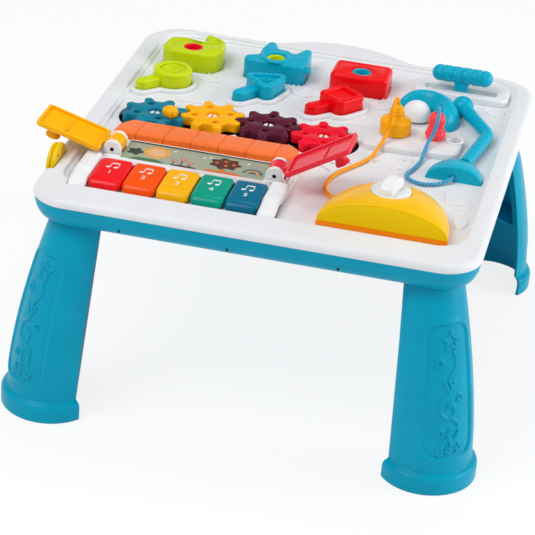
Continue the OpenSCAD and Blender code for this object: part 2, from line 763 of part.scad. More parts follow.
module door_left() {
    color("#FFB800") translate([hinge_x[0], 0, hinge_z]) rotate([0, left_open, 0]) mirror([1, 0, 0])
        door(0, door_meet - gap - hinge_x[0]);
}

module door_right() {
    color("#F0405A") translate([hinge_x[1], 0, hinge_z]) rotate([0, -right_open, 0])
        door(1, hinge_x[1] - door_meet - gap);
}

module picture_panel() {
    color("#9FAC96") translate([panel_at.x - panel_w/2, panel_front, panel_z - 1.5])
        cube([panel_w, panel_d, 1.5]);
}

// The bar of tiles behind the picture: sloped top, rounded ends, a groove between tiles
tile_x0 = -171;
tile_x1 = 12;
module tile_bar() {
    plan = rounded([[tile_x0, tile_front, 2], [tile_x1, tile_front, 2],
        [tile_x1 - 2, tile_front + tile_d - 12, 8],
        [tile_x1 - 14, tile_front + tile_d, 10], [tile_x0 + 20, tile_front + tile_d, 10],
            [tile_x0 + 10, tile_front + tile_d - 5, 8]]);
    color("#F8793A") difference() {
        intersection() {
            slab(plan, floor_z, floor_z + 30);
            translate([tile_x0 - 1, tile_front, floor_z]) rotate([90, 0, 90])
                linear_extrude(tile_x1 - tile_x0 + 2)
                polygon(concat([[0, 0], [0, tile_h - 2]], arc([2.5, tile_h - 2.5], 2.5, 170, 100, 3),
                    [[tile_d, tile_h - 5], [tile_d, 0]]));
        }
        for (i = [0:tiles - 2]) translate([-148.5 + i*166.8/(tiles - 1),
            tile_front - 1, floor_z + tile_h]) rotate([-6.8, 0, 0])
            translate([-0.6, 0, -1]) cube([1.2, tile_d + 2, 4]);
    }
}

module circuit_board() {
    color("#1E6B3C") translate([piano_x - 70, key_front + 6, tray_floor + 7]) cube([140, 44, 1.6]);
    color("#1E6B3C") for (x = [-60, 60], y = [12, 44])
        hole([piano_x + x, key_front + y], 6, tray_floor, tray_floor + 7.2);
}

speaker_at = [47, -50];
module speaker() {
    color("#2A2C30") at_z(under_z - 11) translate([speaker_at.x, speaker_at.y, 0]) rotate_extrude()
        polygon([[0, 0], [10, 0], [10, 5], [19, 9], [19, 11], [0, 11]]);
}

// ---- Lift-out blocks and shape keys ----

block_z = floor_z - well_depth;
block_top = floor_z + 2 + block_h;
block_round = [2, 3, 4];

// Plans of the three blocks, about their own centres
function leaf_plan() = rounded([[-33, -4, 14], [-24, -16, 14], [24, -16, 14], [33, 2, 12], [29, 30, 11],
    [6, 45, 2.5], [5, 31, 2.5], [12, 24, 3], [3, 18, 4], [-10, 25, 12], [-30, 22, 12]], 4);
function ears_plan() = rounded([[-33, -12, 7], [33, -12, 7], [34, 8, 4], [31.5, 39, 4.5], [24, 39, 4.5],
    [15, 20, 2.5], [8, 28, 6], [-3, 29, 3], [-9, 45, 4], [-17, 45.5, 4], [-21, 26, 4], [-20, 8, 4],
    [-33, 0, 5]], 3);
function brick_plan() = rounded([[-31, -18, 7], [31, -18, 7], [31, 24, 7], [-31, 24, 7]], 5);
function block_plan(i) = placed([leaf_plan(), ears_plan(), brick_plan()][i], block_at[i]);
core_at = [block_at[0], block_at[1] + [0, 1.5], block_at[2] + [1, -3]];

module block(i) {
    difference() {
        union() {
            slab(block_plan(i), block_z + gap, block_top - block_round[i]);
            slab(inset(block_plan(i), block_round[i] + 0.2), block_z + 1, block_top - 0.05);
        }
        hole(core_at[i], core_bore + 5, block_z, block_top + 1);
        hole(core_at[i], core_bore + 7.4, block_z, block_z + 8);
    }
    soft_edge(block_plan(i), block_top, block_round[i]);
}

// The coloured tube, flanged at its foot, that shows as a ring in the block's top
module core(i) {
    difference() {
        union() {
            hole(core_at[i], core_bore + 4.6, block_z + 2, block_top - 0.6);
            hole(core_at[i], core_bore + 7, block_z + gap, block_z + 8);
        }
        hole(core_at[i], core_bore, block_z, block_top + 1);
    }
}

module block_green() { color("#C8D900") block(0); }
module block_blue() {
    color("#12ADCB") {
        block(1);
        slab(placed([[31, -6], [39, -8], [39, 2], [31, 0]], block_at[1]), block_top - 9, block_top - 5);
    }
}
module block_red() { color("#EE1420") block(2); }
module block_green_core() { color("#F5142D") core(0); }
module block_blue_core() { color("#C8D900") core(1); }
module block_red_core() { color("#12ADCB") core(2); }

// Heads of the shape keys about their centres: round, triangular and square
function head_plan(i, d) = i == 0 ? [for (a = [0:15:345]) polar(20.5 + d, a)]
    : i == 1 ? rounded([for (a = [-76, 44, 164]) concat(polar(30 + 2*d, a), 7.5 + d)], 7)
    : rounded([for (a = [8, 98, 188, 278]) concat(polar(25.5 + 1.4*d, a), 7 + d)], 6);
grip_mid = grip_len/2 + 4;
function grip_outline(d) = rounded([[8, -grip_w/2 - d, 0], [grip_len - 6 + d, -grip_w/2 - d, 1 + d/2],
    [grip_len + d, -grip_w/2 + 4, 1 + d/2], [grip_len + d, grip_w/2 - 4, 1 + d/2],
    [grip_len - 6 + d, grip_w/2 + d, 1 + d/2], [8, grip_w/2 + d, 0]], 2);
function grip_plan(i, d) = placed(grip_outline(d), tool_at[i], tool_turn[i]);

module tool(i) {
    translate(tool_at[i]) difference() {
        union() {
            bevel_prism(head_plan(i, 0), block_z + gap, floor_z + 2 + head_h, 3);
            rotate([0, 0, tool_turn[i]]) translate([grip_mid, 0, 0])
                bevel_prism(placed(grip_outline(0), [-grip_mid, 0]), block_z + gap, floor_z + 2 + grip_h, 2);
        }
        slab(head_plan(i, -6), floor_z + head_h - 2, floor_z + head_h + 4);
    }
}

module tool_green() { color("#D2E000") tool(0); }
module tool_blue() { color("#12ADCB") tool(1); }
module tool_red() { color("#F5142D") tool(2); }

// The shape of a whole key seen from above, d wider all round
module tool_plan(i, d) {
    polygon(placed(head_plan(i, d), tool_at[i]));
    polygon(grip_plan(i, d));
}

// ---- Telephone ----

module plug(at, prof) {
    translate([at.x, at.y, table_sockets]) rotate_extrude() polygon(prof);
}

module plug_orange() {
    color("#FFB000") plug(socket_at[0], concat([[0, -socket_depth + gap], [stem_d/2, -socket_depth + gap],
        [stem_d/2, gap], [15, gap], [16, 1.5], [16, 10]], arc([12.6, 12], 3.6, 0, 60, 4),
        [[10.5, 17], [8.2, 20], [7.6, 21.5], [8, 22.5], [7, 24], [7.2, 25], [6, 26.6], [6.2, 27.4],
            [4.4, 29.6], [2.4, 31], [0, 31.2]]));
}

module plug_red() {
    color("#FF4A55") plug(socket_at[1], concat([[0, -socket_depth + gap], [stem_d/2, -socket_depth + gap],
        [stem_d/2, gap], [8.6, gap]], arc([5.4, 5.6], 5.2, -70, 50, 6), arc([11.5, 13.6], 3.4, 218, 150, 3),
        arc([0, 20.5], 8.8, -10, 80, 7), [[0, 29.2]]));
}

// A round cord swept along points p
function path_dir(p, i) = unit((i == 0 ? p[1] - p[0] : i == len(p) - 1 ? p[i] - p[i - 1]
    : unit(p[i + 1] - p[i]) + unit(p[i] - p[i - 1])));
module cord_tube(p, d) {
    loft([for (i = [0:len(p) - 1])
        let (t = path_dir(p, i),
            s = abs(t*[0.2, -0.9, 0.38]) > 0.99 ? unit(cross(t, [1, 0, 0]))
                : unit(cross(t, [0.93, 0.33, 0.16])),
            v = cross(s, t))
        [for (k = [0:7]) p[i] - d/2*(cos(45*k)*s + sin(45*k)*v)]]);
}

// A smooth curve through the route's points, with m steps between them
function smooth(p, m) = [for (i = [0:len(p) - 2], j = [0:m - 1])
    let (a = p[max(0, i - 1)], b = p[i], c = p[i + 1], d = p[min(len(p) - 1, i + 2)], t = j/m)
    0.5*((2*b) + (c - a)*t + (2*a - 5*b + 4*c - d)*t*t + (3*b - a - 3*c + d)*t*t*t)];
function cord_points(p, m) = concat(smooth(p, m), [p[len(p) - 1]]);

// From the plug's tip, down beside the plug, across the deck and into the dome's side
orange_route = [[90, 42.5, 260.8], [90, 42, 264], [89.7, 38.5, 267.5], [89, 33, 268], [88, 26, 262],
    [87, 21.5, 250], [86, 18.5, 240],
    [84, 12, 234], [81.5, 3, 229.6], [78, -10, 225], [75, -20, 224.4], [70, -32, 224.4], [62, -46, 224.4],
    [55, -58, 224.4], [50, -70, 224.4], [47.5, -82, 224.4], [47, -94, 224.4], [48.5, -105, 224.4],
        [53, -114, 224.5], [60, -121, 224.6], [68, -125, 224.6]];
module cord_orange() {
    color("#FFA600") cord_tube(cord_points(orange_route, 3), cord_d);
}

// From the red plug's tip, down to the deck, round a bend and into the lamp's foot
blue_route = [[131, 43.5, 258.8], [131.2, 42.8, 262], [131.8, 39.5, 264.8], [133, 34, 265],
    [134, 28, 259], [132.5, 26, 248], [130, 24.5, 239],
    [128, 20, 235], [127, 12.5, 232.6], [126.2, 4, 229.2], [125.5, -6, 225], [123, -20, 224.4],
        [120, -31, 224.4],
    [117.5, -40, 224.4], [118.5, -48, 224.4], [125, -54, 224.4], [134, -57, 224.4], [143, -55.5, 224.4],
    [151, -50.5, 224.4], [157.5, -45.5, 225.8], [161.4, -40, 226.8], [162, -34.2, 227]];
module cord_blue() {
    color("#2A9AC8") cord_tube(cord_points(blue_route, 3), cord_d);
}

module dome_base() {
    color("#FF8A00") translate([dome_at.x, dome_at.y, floor_z]) slab(half_oval(dome_a, dome_b, 28),
        0, band_h);
}

module dome_shell() {
    color("#F2CC20") difference() {
        translate([dome_at.x, dome_at.y, floor_z + band_h]) quarter_dome(dome_a, dome_b, dome_c, 9);
        hole(dial_at, dial_d + 0.8, dial_z - 3, dial_z + 20);
        hole(dial_at, 8.4, floor_z + band_h + 8, dial_z + 20);
    }
    color("#F2CC20") difference() {
        hole(dial_at, dial_d + 3, floor_z + band_h + 6, dial_z - 1);
        hole(dial_at, dial_d + 0.8, dial_z - 3, dial_z + 20);
        hole(dial_at, 8.4, floor_z + band_h + 8, dial_z + 20);
    }
}

dial_z = floor_z + band_h + 22.5;
module dial() {
    color("white") translate([dial_at.x, dial_at.y, dial_z]) {
        difference() {
            at_z(-3 + gap) cylinder(d=dial_d, h=5.2 - gap);
            at_z(0.8) cylinder(d1=dial_d - 12, d2=dial_d - 3, h=1.5);
        }
        rotate([0, 0, -12]) intersection() {
            translate([-7, -17, -1]) cube([14, 34, 16]);
            rotate([90, 0, 90]) translate([0, 0, -10]) linear_extrude(20)
                polygon(concat([[-17, -1], [17, -1]], arc([5, 1], 12, 0, 75, 6), arc([-5, 1],
                    12, 105, 180, 6)));
        }
        at_z(-14) cylinder(d=8, h=13);
    }
}

// ---- Lamp ----

module lamp_base() {
    color("#12A9C8") translate([lamp_base_at.x, lamp_base_at.y, floor_z]) difference() {
        quarter_dome(28.5, 42, 16, 6);
        translate([-1, -1, 5]) rotate([-90, 0, 0]) cylinder(d=cord_d + 1.4, h=4);
        translate([-lamp_base_at.x, -lamp_base_at.y, -floor_z]) tube_between(arm_foot, arm_elbow, arm_d);
    }
}

// The arm: two straight tubes and an elbow, lying on the deck, with a ball at the shade
arm_z = floor_z + 7.5;
arm_foot = [169, -8, arm_z];
arm_elbow = [182, 71, arm_z];
ball = [boss_at.x, boss_at.y, arm_z + 4];
ball_d = 23;
module tube_between(a, b, d) {
    v = b - a;
    translate(a) rotate([0, acos(v.z/norm(v)), atan2(v.y, v.x)]) cylinder(d=d, h=norm(v));
}
module lamp_arm() {
    color("#12A9C8") {
        tube_between(arm_foot, arm_elbow, arm_d);
        translate(arm_elbow) sphere(d=arm_d + 1.2);
        tube_between(arm_elbow, ball, arm_d);
        translate(ball) sphere(d=ball_d);
    }
}

// The shade: a crescent round the bulb, steep inside and gently falling outside
function shade_side() = [[bulb_r + 1.5, 0], [bulb_r + 1.5, 9], [21, shade_h - 5], [24.5, shade_h - 0.8],
    [27, shade_h],
    [30, shade_h - 1], [34.5, shade_h - 4.5], [38.5, shade_h - 10], [shade_r - 1, 7], [shade_r, 0]];
module shade_body() {
    loft([for (i = [0:16]) let (a = -48 + 198*i/16, e = pow(abs(2*i/16 - 1), 4), s = max(0.28, sqrt(1 - e)))
        [for (p = shade_side()) let (r = 28 + (p.x - 28)*s)
            [shade_at.x + r*cos(a), shade_at.y + r*sin(a), floor_z + p.y*s]]]);
}
module lamp_shade() {
    color("#12A9C8") difference() {
        shade_body();
        hole(bulb_at, 2*bulb_r + 1, floor_z - 1, floor_z + shade_h + 1);
        translate(ball) sphere(d=ball_d + 0.6);
        tube_between(arm_elbow, ball, arm_d + 0.6);
    }
}

module lamp_bulb() {
    color("#F4F4F4") {
        translate([bulb_at.x, bulb_at.y, floor_z + bulb_push + gap]) rotate_extrude()
            polygon(concat([[0, 0], [bulb_r, 0], [bulb_r, 3]], arc([0, 3], bulb_r, 6, 90, 9)));
        hole(bulb_at, 8, under_z - 4, floor_z + bulb_push + 1);
    }
}

// ---- Slider and side wheel ----

grip_z = track_z + 16;
module slider_handle() {
    color("#1AA9C9") {
        translate([slider_at.x - post_w/2, slider_at.y - post_w/2 + 1 + gap, floor_z + 2 + gap])
            cube([post_w, post_w - 2 - 2*gap, grip_z - floor_z - 4]);
        translate([slider_at.x - 6, slider_at.y - 2.9, under_z - gap]) cube([12, 5.8, 10]);
        difference() {
            union() {
                translate([slider_at.x - slider_len/2 + slider_d/2, slider_at.y, grip_z]) rotate([0, 90, 0])
                    cylinder(d=slider_d, h=slider_len - slider_d);
                for (s = [-1, 1]) translate([slider_at.x + s*(slider_len - slider_d)/2, slider_at.y, grip_z])
                    sphere(d=slider_d);
            }
            for (i = [-2:2]) translate([slider_at.x + i*10.4 - 0.5, slider_at.y, grip_z])
                rotate([0, 90, 0]) difference() {
                cylinder(d=slider_d + 2, h=1);
                at_z(-1) cylinder(d=slider_d - 1.4, h=3);
            }
        }
    }
}

module slider_retainer() {
    color("#D8DADD") difference() {
        translate([slider_at.x - 9, slider_at.y - 6, under_z - 3]) cube([18, 12, 3 - gap]);
        translate([slider_at.x, slider_at.y, under_z - 4]) cylinder(d=2.6, h=2);
    }
}

module side_wheel() {
    color("#E8C400") translate([wheel_at.x - wheel_t/2, wheel_at.y, wheel_z])
        rotate([0, 90, 0]) difference() {
        rotate_extrude() polygon([[0, 0], [wheel_d/2 - 3, 0], [wheel_d/2 - 1, 1],
            [wheel_d/2 - 1, wheel_t*0.4],
            [wheel_d/2 - 2.5, wheel_t*0.5], [wheel_d/2, wheel_t*0.6], [wheel_d/2, wheel_t - 1],
                [wheel_d/2 - 1, wheel_t], [0, wheel_t]]);
        at_z(-1) cylinder(d=5, h=wheel_t + 2);
        for (a = [0:60:300]) rotate([0, 0, a]) translate([13, 0, -1]) cylinder(d=5, h=wheel_t + 2);
    }
}

module wheel_axle() {
    color("#B8BCC2") translate([wheel_at.x - wheel_t/2, wheel_at.y, wheel_z]) rotate([0, 90, 0])
        cylinder(d=axle_d, h=axle_len);
}

deck_shell();
skirt_tray();
leg(0);  // leg_front_left
leg(1);  // leg_front_right
leg(2);  // leg_back_left
leg(3);  // leg_back_right
leg_screws();
case_screws();
gear_tray();
gear_teal();
gear_yellow();
gear_purple();
gear_red();
crank_knob();
gear_pegs();
piano_housing();
key_1();
key_2();
key_3();
key_4();
key_5();
key_axle();
key_pads();
circuit_board();
speaker();
picture_panel();
tile_bar();
door_left();
door_right();
door_pins();
block_green();
block_green_core();
block_blue();
block_blue_core();
block_red();
block_red_core();
tool_green();
tool_blue();
tool_red();
plug_orange();
plug_red();
cord_orange();
cord_blue();
dome_shell();
dome_base();
dial();
lamp_base();
lamp_arm();
lamp_shade();
lamp_bulb();
slider_handle();
slider_retainer();
side_wheel();
wheel_axle();
battery_cells();
battery_door();
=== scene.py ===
# Looks of the musical activity table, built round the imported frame. Lengths are in mm until a mesh is made.
import math

import bmesh
import bpy
import numpy as np
from mathutils import Matrix, Vector
from mathutils.geometry import delaunay_2d_cdt


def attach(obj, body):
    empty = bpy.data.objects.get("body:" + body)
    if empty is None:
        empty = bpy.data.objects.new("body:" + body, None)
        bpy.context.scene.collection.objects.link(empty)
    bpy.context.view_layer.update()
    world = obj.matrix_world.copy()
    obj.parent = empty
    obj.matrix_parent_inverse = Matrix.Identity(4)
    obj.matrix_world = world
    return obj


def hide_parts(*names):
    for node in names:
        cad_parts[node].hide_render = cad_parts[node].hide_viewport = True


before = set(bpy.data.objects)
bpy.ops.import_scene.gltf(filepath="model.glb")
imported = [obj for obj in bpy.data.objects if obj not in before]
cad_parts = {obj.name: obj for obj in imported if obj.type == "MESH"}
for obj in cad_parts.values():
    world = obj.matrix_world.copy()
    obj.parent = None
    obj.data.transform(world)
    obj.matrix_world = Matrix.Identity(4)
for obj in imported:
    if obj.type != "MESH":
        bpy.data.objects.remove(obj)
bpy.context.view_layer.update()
print("frame loaded:", len(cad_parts), "nodes")


# The camera: angles in degrees, lens in mm, place in metres
view = {"azimuth": 10.738, "elevation": 27.822, "roll": 4.790, "lens": 154.09,
        "place": (0.370174, -2.064555, 1.182363)}


# Adds an object made of a mesh, curve, lamp or camera to the scene
def addObject(name, data):
    obj = bpy.data.objects.new(name, data)
    bpy.context.scene.collection.objects.link(obj)
    return obj


# A camera from azimuth a, elevation e and roll r: back = (sin a cos e, -cos a cos e, sin e), right is level
def makeCamera(v):
    a, e, r = (math.radians(v[k]) for k in ("azimuth", "elevation", "roll"))
    back = Vector((math.sin(a)*math.cos(e), -math.cos(a)*math.cos(e), math.sin(e)))
    right = Vector((math.cos(a), math.sin(a), 0))
    up = back.cross(right)
    camX = math.cos(r)*right + math.sin(r)*up
    camY = -math.sin(r)*right + math.cos(r)*up
    data = bpy.data.cameras.new("camera")
    data.sensor_width, data.lens = 36, v["lens"]
    data.clip_start, data.clip_end = 0.1, 100
    cam = addObject("camera", data)
    cam.matrix_world = Matrix((camX, camY, back)).transposed().to_4x4()
    cam.location = v["place"]
    bpy.context.scene.camera = cam


makeCamera(view)


# The plan point (r cos a, r sin a), a in degrees, as all angles here
def polar(r, a):
    return np.array([r*math.cos(math.radians(a)), r*math.sin(math.radians(a))])


# n + 1 points c + r(cos a, sin a) with a from a0 to a1
def arc(c, r, a0, a1, n):
    a = np.radians(np.linspace(a0, a1, n + 1))
    return np.asarray(c) + r*np.stack([np.cos(a), np.sin(a)], 1)


# A full circle as n points
def circle(c, r, n=48):
    return arc(c, r, 0, 360, n)[:-1]


# Corners (x, y, radius) turned into an outline with n steps round each corner
def rounded(corners, n=6):
    out, c = [], np.asarray(corners, float)
    for p, before, after in zip(c, np.roll(c, 1, 0), np.roll(c, -1, 0)):
        u, v = (q[:2] - p[:2] for q in (before, after))
        u, v = u/np.linalg.norm(u), v/np.linalg.norm(v)
        if p[2] == 0:
            out.append(p[None, :2])
            continue
        half = math.acos(max(-1, min(1, u @ v)))/2
        mid = p[:2] + (u + v)/np.linalg.norm(u + v)*p[2]/math.sin(half)
        s, e = p[:2] + u*p[2]/math.tan(half) - mid, p[:2] + v*p[2]/math.tan(half) - mid
        a0, a1 = (math.degrees(math.atan2(q[1], q[0])) for q in (s, e))
        out.append(arc(mid, p[2], a0, a0 + (a1 - a0 + 180) % 360 - 180, n))
    return np.concatenate(out)


# Plan points turned by a and then moved to at
def placed(p, at, a=0):
    c, s = math.cos(math.radians(a)), math.sin(math.radians(a))
    return np.asarray(at) + np.asarray(p) @ np.array([[c, s], [-s, c]])


# An outline moved inwards by d: each point along the half-angle of its two edges
def inset(p, d):
    u, v = p - np.roll(p, 1, 0), np.roll(p, -1, 0) - p
    u, v = (q/np.maximum(np.linalg.norm(q, axis=1, keepdims=True), 1e-9) for q in (u, v))
    nu, nv = (np.stack([-q[:, 1], q[:, 0]], 1) for q in (u, v))
    m = nu + nv
    m /= np.maximum(np.linalg.norm(m, axis=1, keepdims=True), 1e-9)
    return p + m*d/np.maximum(0.6, (m*nu).sum(1, keepdims=True))


# Points of a curve through p (Catmull-Rom), m steps between two of them
def smoothPath(p, m):
    p = np.asarray(p, float)
    idx = np.arange(len(p) - 1)
    a, b, c, d = (p[np.clip(idx + k, 0, len(p) - 1)][:, None, :] for k in (-1, 0, 1, 2))
    t = (np.arange(m)/m)[None, :, None]
    q = 0.5*(2*b + (c - a)*t + (2*a - 5*b + 4*c - d)*t*t + (3*b - a - 3*c + d)*t**3)
    return np.vstack([q.reshape(-1, p.shape[1]), p[-1:]])


# A surface is (points, faces, smooth flag, material number). This one joins rows of points by quads, and closes each
# row on itself if it is a ring
def grid(net, closed=False, smooth=True, mat=0):
    m, n = net.shape[:2]
    i, j = np.meshgrid(np.arange(m - 1), np.arange(n if closed else n - 1), indexing="ij")
    k, l = i + 1, (j + 1) % n
    quads = np.stack([i*n + j, k*n + j, k*n + l, i*n + l], -1).reshape(-1, 4)
    return net.reshape(-1, 3), quads, smooth, mat


# Plan points lifted to height z
def atZ(p, z):
    return np.column_stack([p, np.full(len(p), float(z))])


# One flat face over a ring of points
def cap(ring, mat=0):
    return ring, np.arange(len(ring))[None, :], False, mat


# Which points lie inside an odd number of the loops
def inLoops(q, loops):
    a = np.concatenate(loops)
    b = np.concatenate([np.roll(p, -1, 0) for p in loops])
    across = (a[:, 1] > q[:, 1:]) != (b[:, 1] > q[:, 1:])
    rise = np.where(np.abs(b[:, 1] - a[:, 1]) < 1e-12, 1e-12, b[:, 1] - a[:, 1])
    return (across & (q[:, :1] < a[:, 0] + (q[:, 1:] - a[:, 1])/rise*(b[:, 0] - a[:, 0]))).sum(1) % 2 == 1


# A flat face inside the first loop and outside the ones within it
def flatCap(loops, z, mat=0):
    pts = np.concatenate(loops)
    start = np.cumsum([0] + [len(q) for q in loops])
    edges = np.concatenate([np.stack([s + np.arange(len(q)), s + (np.arange(len(q)) + 1) % len(q)], 1)
                            for s, q in zip(start, loops)])
    v, _, f, *_ = delaunay_2d_cdt([Vector(q) for q in pts], edges.tolist(), [], 0, 1e-5)
    v, f = np.array([tuple(q) for q in v]), np.array(f)
    return atZ(v, z), f[inLoops(v[f].mean(1), loops)], False, mat


# A wall over an outline: one ring for each step (inset, height)
def stack(outline, steps, mat=0):
    return grid(np.stack([atZ(inset(outline, d), z) for d, z in steps]), closed=True, mat=mat)


# Quarter-round steps (inset, height) that end at the top edge z with radius r
def quarter(z, r, n=6, side=1):
    a = np.radians(np.linspace(0, 90, n + 1))
    return [(side*r*(1 - math.cos(q)), z - r + r*math.sin(q)) for q in a]


# Walls and floors of holes (outline, height of the floor or None if it goes through, edge radius) between z0 and z1,
# with the loops that they leave in the top and in the bottom face
def wellParts(holes, z0, z1):
    parts, top, bottom = [], [], []
    for loop, deep, edge in holes:
        parts.append(stack(loop, quarter(z1, edge, 4, -1)[::-1] + [(0, z0 if deep is None else deep)]))
        top.append(inset(loop, -edge))
        if deep is None:
            bottom.append(loop)
        else:
            parts.append(flatCap([loop], deep))
    return parts, top, bottom


# A solid over an outline: bottom edge cut by low, top edge rounded by r in n steps, with holes as above
def planSolid(outline, z0, z1, r, holes=(), low=0.4, n=6, mat=0):
    walls, top, bottom = wellParts(holes, z0, z1)
    return [stack(outline, [(low, z0), (0, z0 + low)] + quarter(z1, r, n), mat), *walls,
            flatCap([inset(outline, r)] + top, z1, mat), flatCap([inset(outline, low)] + bottom, z0, mat)]


# A profile (radius, height) turned about a vertical axis at p
def lathe(prof, p=(0, 0), z=0, n=64):
    prof = np.asarray(prof, float)
    a = np.radians(np.arange(n)*360/n)
    net = np.stack([p[0] + prof[:, :1]*np.cos(a), p[1] + prof[:, :1]*np.sin(a),
                    z + np.repeat(prof[:, 1:], n, 1)], -1)
    return grid(net, closed=True)


# A side view (u, v) drawn out from w0 to w1 with its end edges rounded by r
def drawn(side, w0, w1, r, n=5):
    a = np.radians(np.linspace(0, 90, n + 1))
    ins = np.concatenate([r*(1 - np.sin(a)), r*(1 - np.sin(a))[::-1]])
    at = np.concatenate([w0 + r*(1 - np.cos(a)), (w1 - r*(1 - np.cos(a)))[::-1]])
    return closedNet(np.stack([atZ(inset(side, d), w) for d, w in zip(ins, at)]))


# A closed solid from rings of points: its wall and the faces over the first and the last ring
def closedNet(net):
    return [grid(net, closed=True), cap(net[0]), cap(net[-1])]


# A box between two corners, its upright edges rounded by r
def boxSolid(lo, hi, r=0.0):
    plan = np.array([(lo[0], lo[1]), (hi[0], lo[1]), (hi[0], hi[1]), (lo[0], hi[1])])
    if r:
        return planSolid(rounded([(*q, r) for q in plan], 4), lo[2], hi[2], r*0.8, low=0.2)
    ring = [atZ(plan, lo[2]), atZ(plan, hi[2])]
    return [grid(np.stack(ring), closed=True, smooth=False), cap(ring[0]), cap(ring[1])]


# A closed solid turned about an upright axis at p; the profile starts and ends on the axis
def turned(prof, p=(0, 0), z=0, n=64):
    prof = np.array(prof, float)
    prof[:, 0] = np.maximum(prof[:, 0], 0.002)
    return closedNet(lathe(prof, p, z, n)[0].reshape(len(prof), n, 3))


# A turned pin of one radius from z0 to z1
def pin(r, z0, z1, p=(0, 0), z=0, n=64):
    return turned([(0, z0), (r, z0), (r, z1), (0, z1)], p, z, n)


# Parts with their axes in another order, such as [2, 0, 1] for a side view that is drawn out along x
def reorder(parts, axes):
    return [(v[:, axes], f, s, m) for v, f, s, m in parts]


# Parts mirrored in x, tilted about y, turned about z and then moved to at
def moved(parts, turn=0, at=(0, 0, 0), tilt=0, mirror=False):
    out = []
    for v, f, s, m in parts:
        v = v*np.array([-1 if mirror else 1, 1, 1])
        if tilt:
            c, q = math.cos(math.radians(tilt)), math.sin(math.radians(tilt))
            v = v @ np.array([[c, 0, -q], [0, 1, 0], [q, 0, c]])
        v = np.column_stack([placed(v[:, :2], (0, 0), turn), v[:, 2]]) + np.asarray(at, float)
        out.append((v, f, s, m))
    return out


# A tube along a path: each ring stands across the path, its radius a function of (angle, length)
def tube(path, radius, n=16, ref=(0.93, 0.33, 0.16)):
    path = np.asarray(path, float)
    step = np.gradient(path, axis=0)
    t = step/np.linalg.norm(step, axis=1, keepdims=True)
    s = np.cross(t, np.asarray(ref, float))
    s /= np.linalg.norm(s, axis=1, keepdims=True)
    v = np.cross(s, t)
    length = np.concatenate([[0], np.cumsum(np.linalg.norm(np.diff(path, axis=0), axis=1))])
    a = np.radians(np.arange(n)*360/n)
    r = radius(a[None, :], length[:, None]) if callable(radius) else np.broadcast_to(radius, (len(path), n))
    across = np.cos(a)[None, :, None]*s[:, None] + np.sin(a)[None, :, None]*v[:, None]
    return closedNet(path[:, None] + r[..., None]*across)


# A mesh in metres from surfaces in mm, with doubles merged and faces turned outwards
def makeMesh(name, parts):
    mesh = bpy.data.meshes.new(name)
    verts = np.concatenate([p[0] for p in parts])*0.001
    base = np.cumsum([0] + [len(p[0]) for p in parts])
    faces = [row for p, b in zip(parts, base) for row in (np.asarray(p[1]) + b).tolist()]
    mesh.from_pydata(verts.tolist(), [], faces)
    counts = [len(p[1]) for p in parts]
    mesh.polygons.foreach_set("use_smooth", np.repeat([p[2] for p in parts], counts))
    mesh.polygons.foreach_set("material_index", np.repeat([p[3] for p in parts], counts))
    bm = bmesh.new()
    bm.from_mesh(mesh)
    bmesh.ops.remove_doubles(bm, verts=bm.verts, dist=2e-6)
    bmesh.ops.recalc_face_normals(bm, faces=bm.faces)
    bm.to_mesh(mesh)
    bm.free()
    return addObject(name, mesh)


# The mesh that an object shows, its modifiers or its text worked out
def shownMesh(obj):
    return bpy.data.meshes.new_from_object(obj.evaluated_get(bpy.context.evaluated_depsgraph_get()))


# Takes closed parts away from a piece; crossed is for a piece whose own parts pass through each other
def cutAway(obj, parts, crossed):
    tool = makeMesh("cutter", parts)
    cut = obj.modifiers.new("cut", "BOOLEAN")
    cut.operation, cut.solver, cut.object, cut.use_self = "DIFFERENCE", "EXACT", tool, crossed
    mesh = shownMesh(obj)
    obj.modifiers.clear()
    obj.data = mesh
    bpy.data.objects.remove(tool)


# A finished piece: its surfaces with their finishes, what is cut away, the edge angle in degrees that stays sharp,
# the nodes it stands for and the body it rides on
def makePiece(name, parts, mats, body="table", replaces=(), sharp=38, cuts=(), crossed=False):
    obj = makeMesh(name, parts)
    mats = mats if isinstance(mats, (list, tuple)) else [mats]
    for m in mats:
        obj.data.materials.append(m)
    if cuts:
        cutAway(obj, cuts, crossed)
    obj.data.set_sharp_from_angle(angle=math.radians(sharp))
    if replaces:
        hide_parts(*([replaces] if isinstance(replaces, str) else replaces))
    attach(obj, body)
    return obj


# A shader socket that Python expressions can work on; each operation adds a Math node
class Value:
    def __init__(self, owner, socket):
        self.owner, self.socket = owner, socket

    def math(self, operation, *others, clamp=False):
        node = self.owner.node("ShaderNodeMath", {"operation": operation, "use_clamp": clamp},
                               {i: q for i, q in enumerate([self, *others])})
        return Value(self.owner, node.outputs[0])

    def __add__(self, o): return self.math("ADD", o)
    def __radd__(self, o): return self.math("ADD", o)
    def __mul__(self, o): return self.math("MULTIPLY", o)
    def __rmul__(self, o): return self.math("MULTIPLY", o)
    def __sub__(self, o): return self.math("SUBTRACT", o)
    def __rsub__(self, o): return (self*-1).math("ADD", o)
    def __truediv__(self, o): return self.math("DIVIDE", o)

    # 0 at low, 1 at high, straight between them
    def step(self, low, high):
        return ((self - low)/(high - low)).math("ADD", 0, clamp=True)


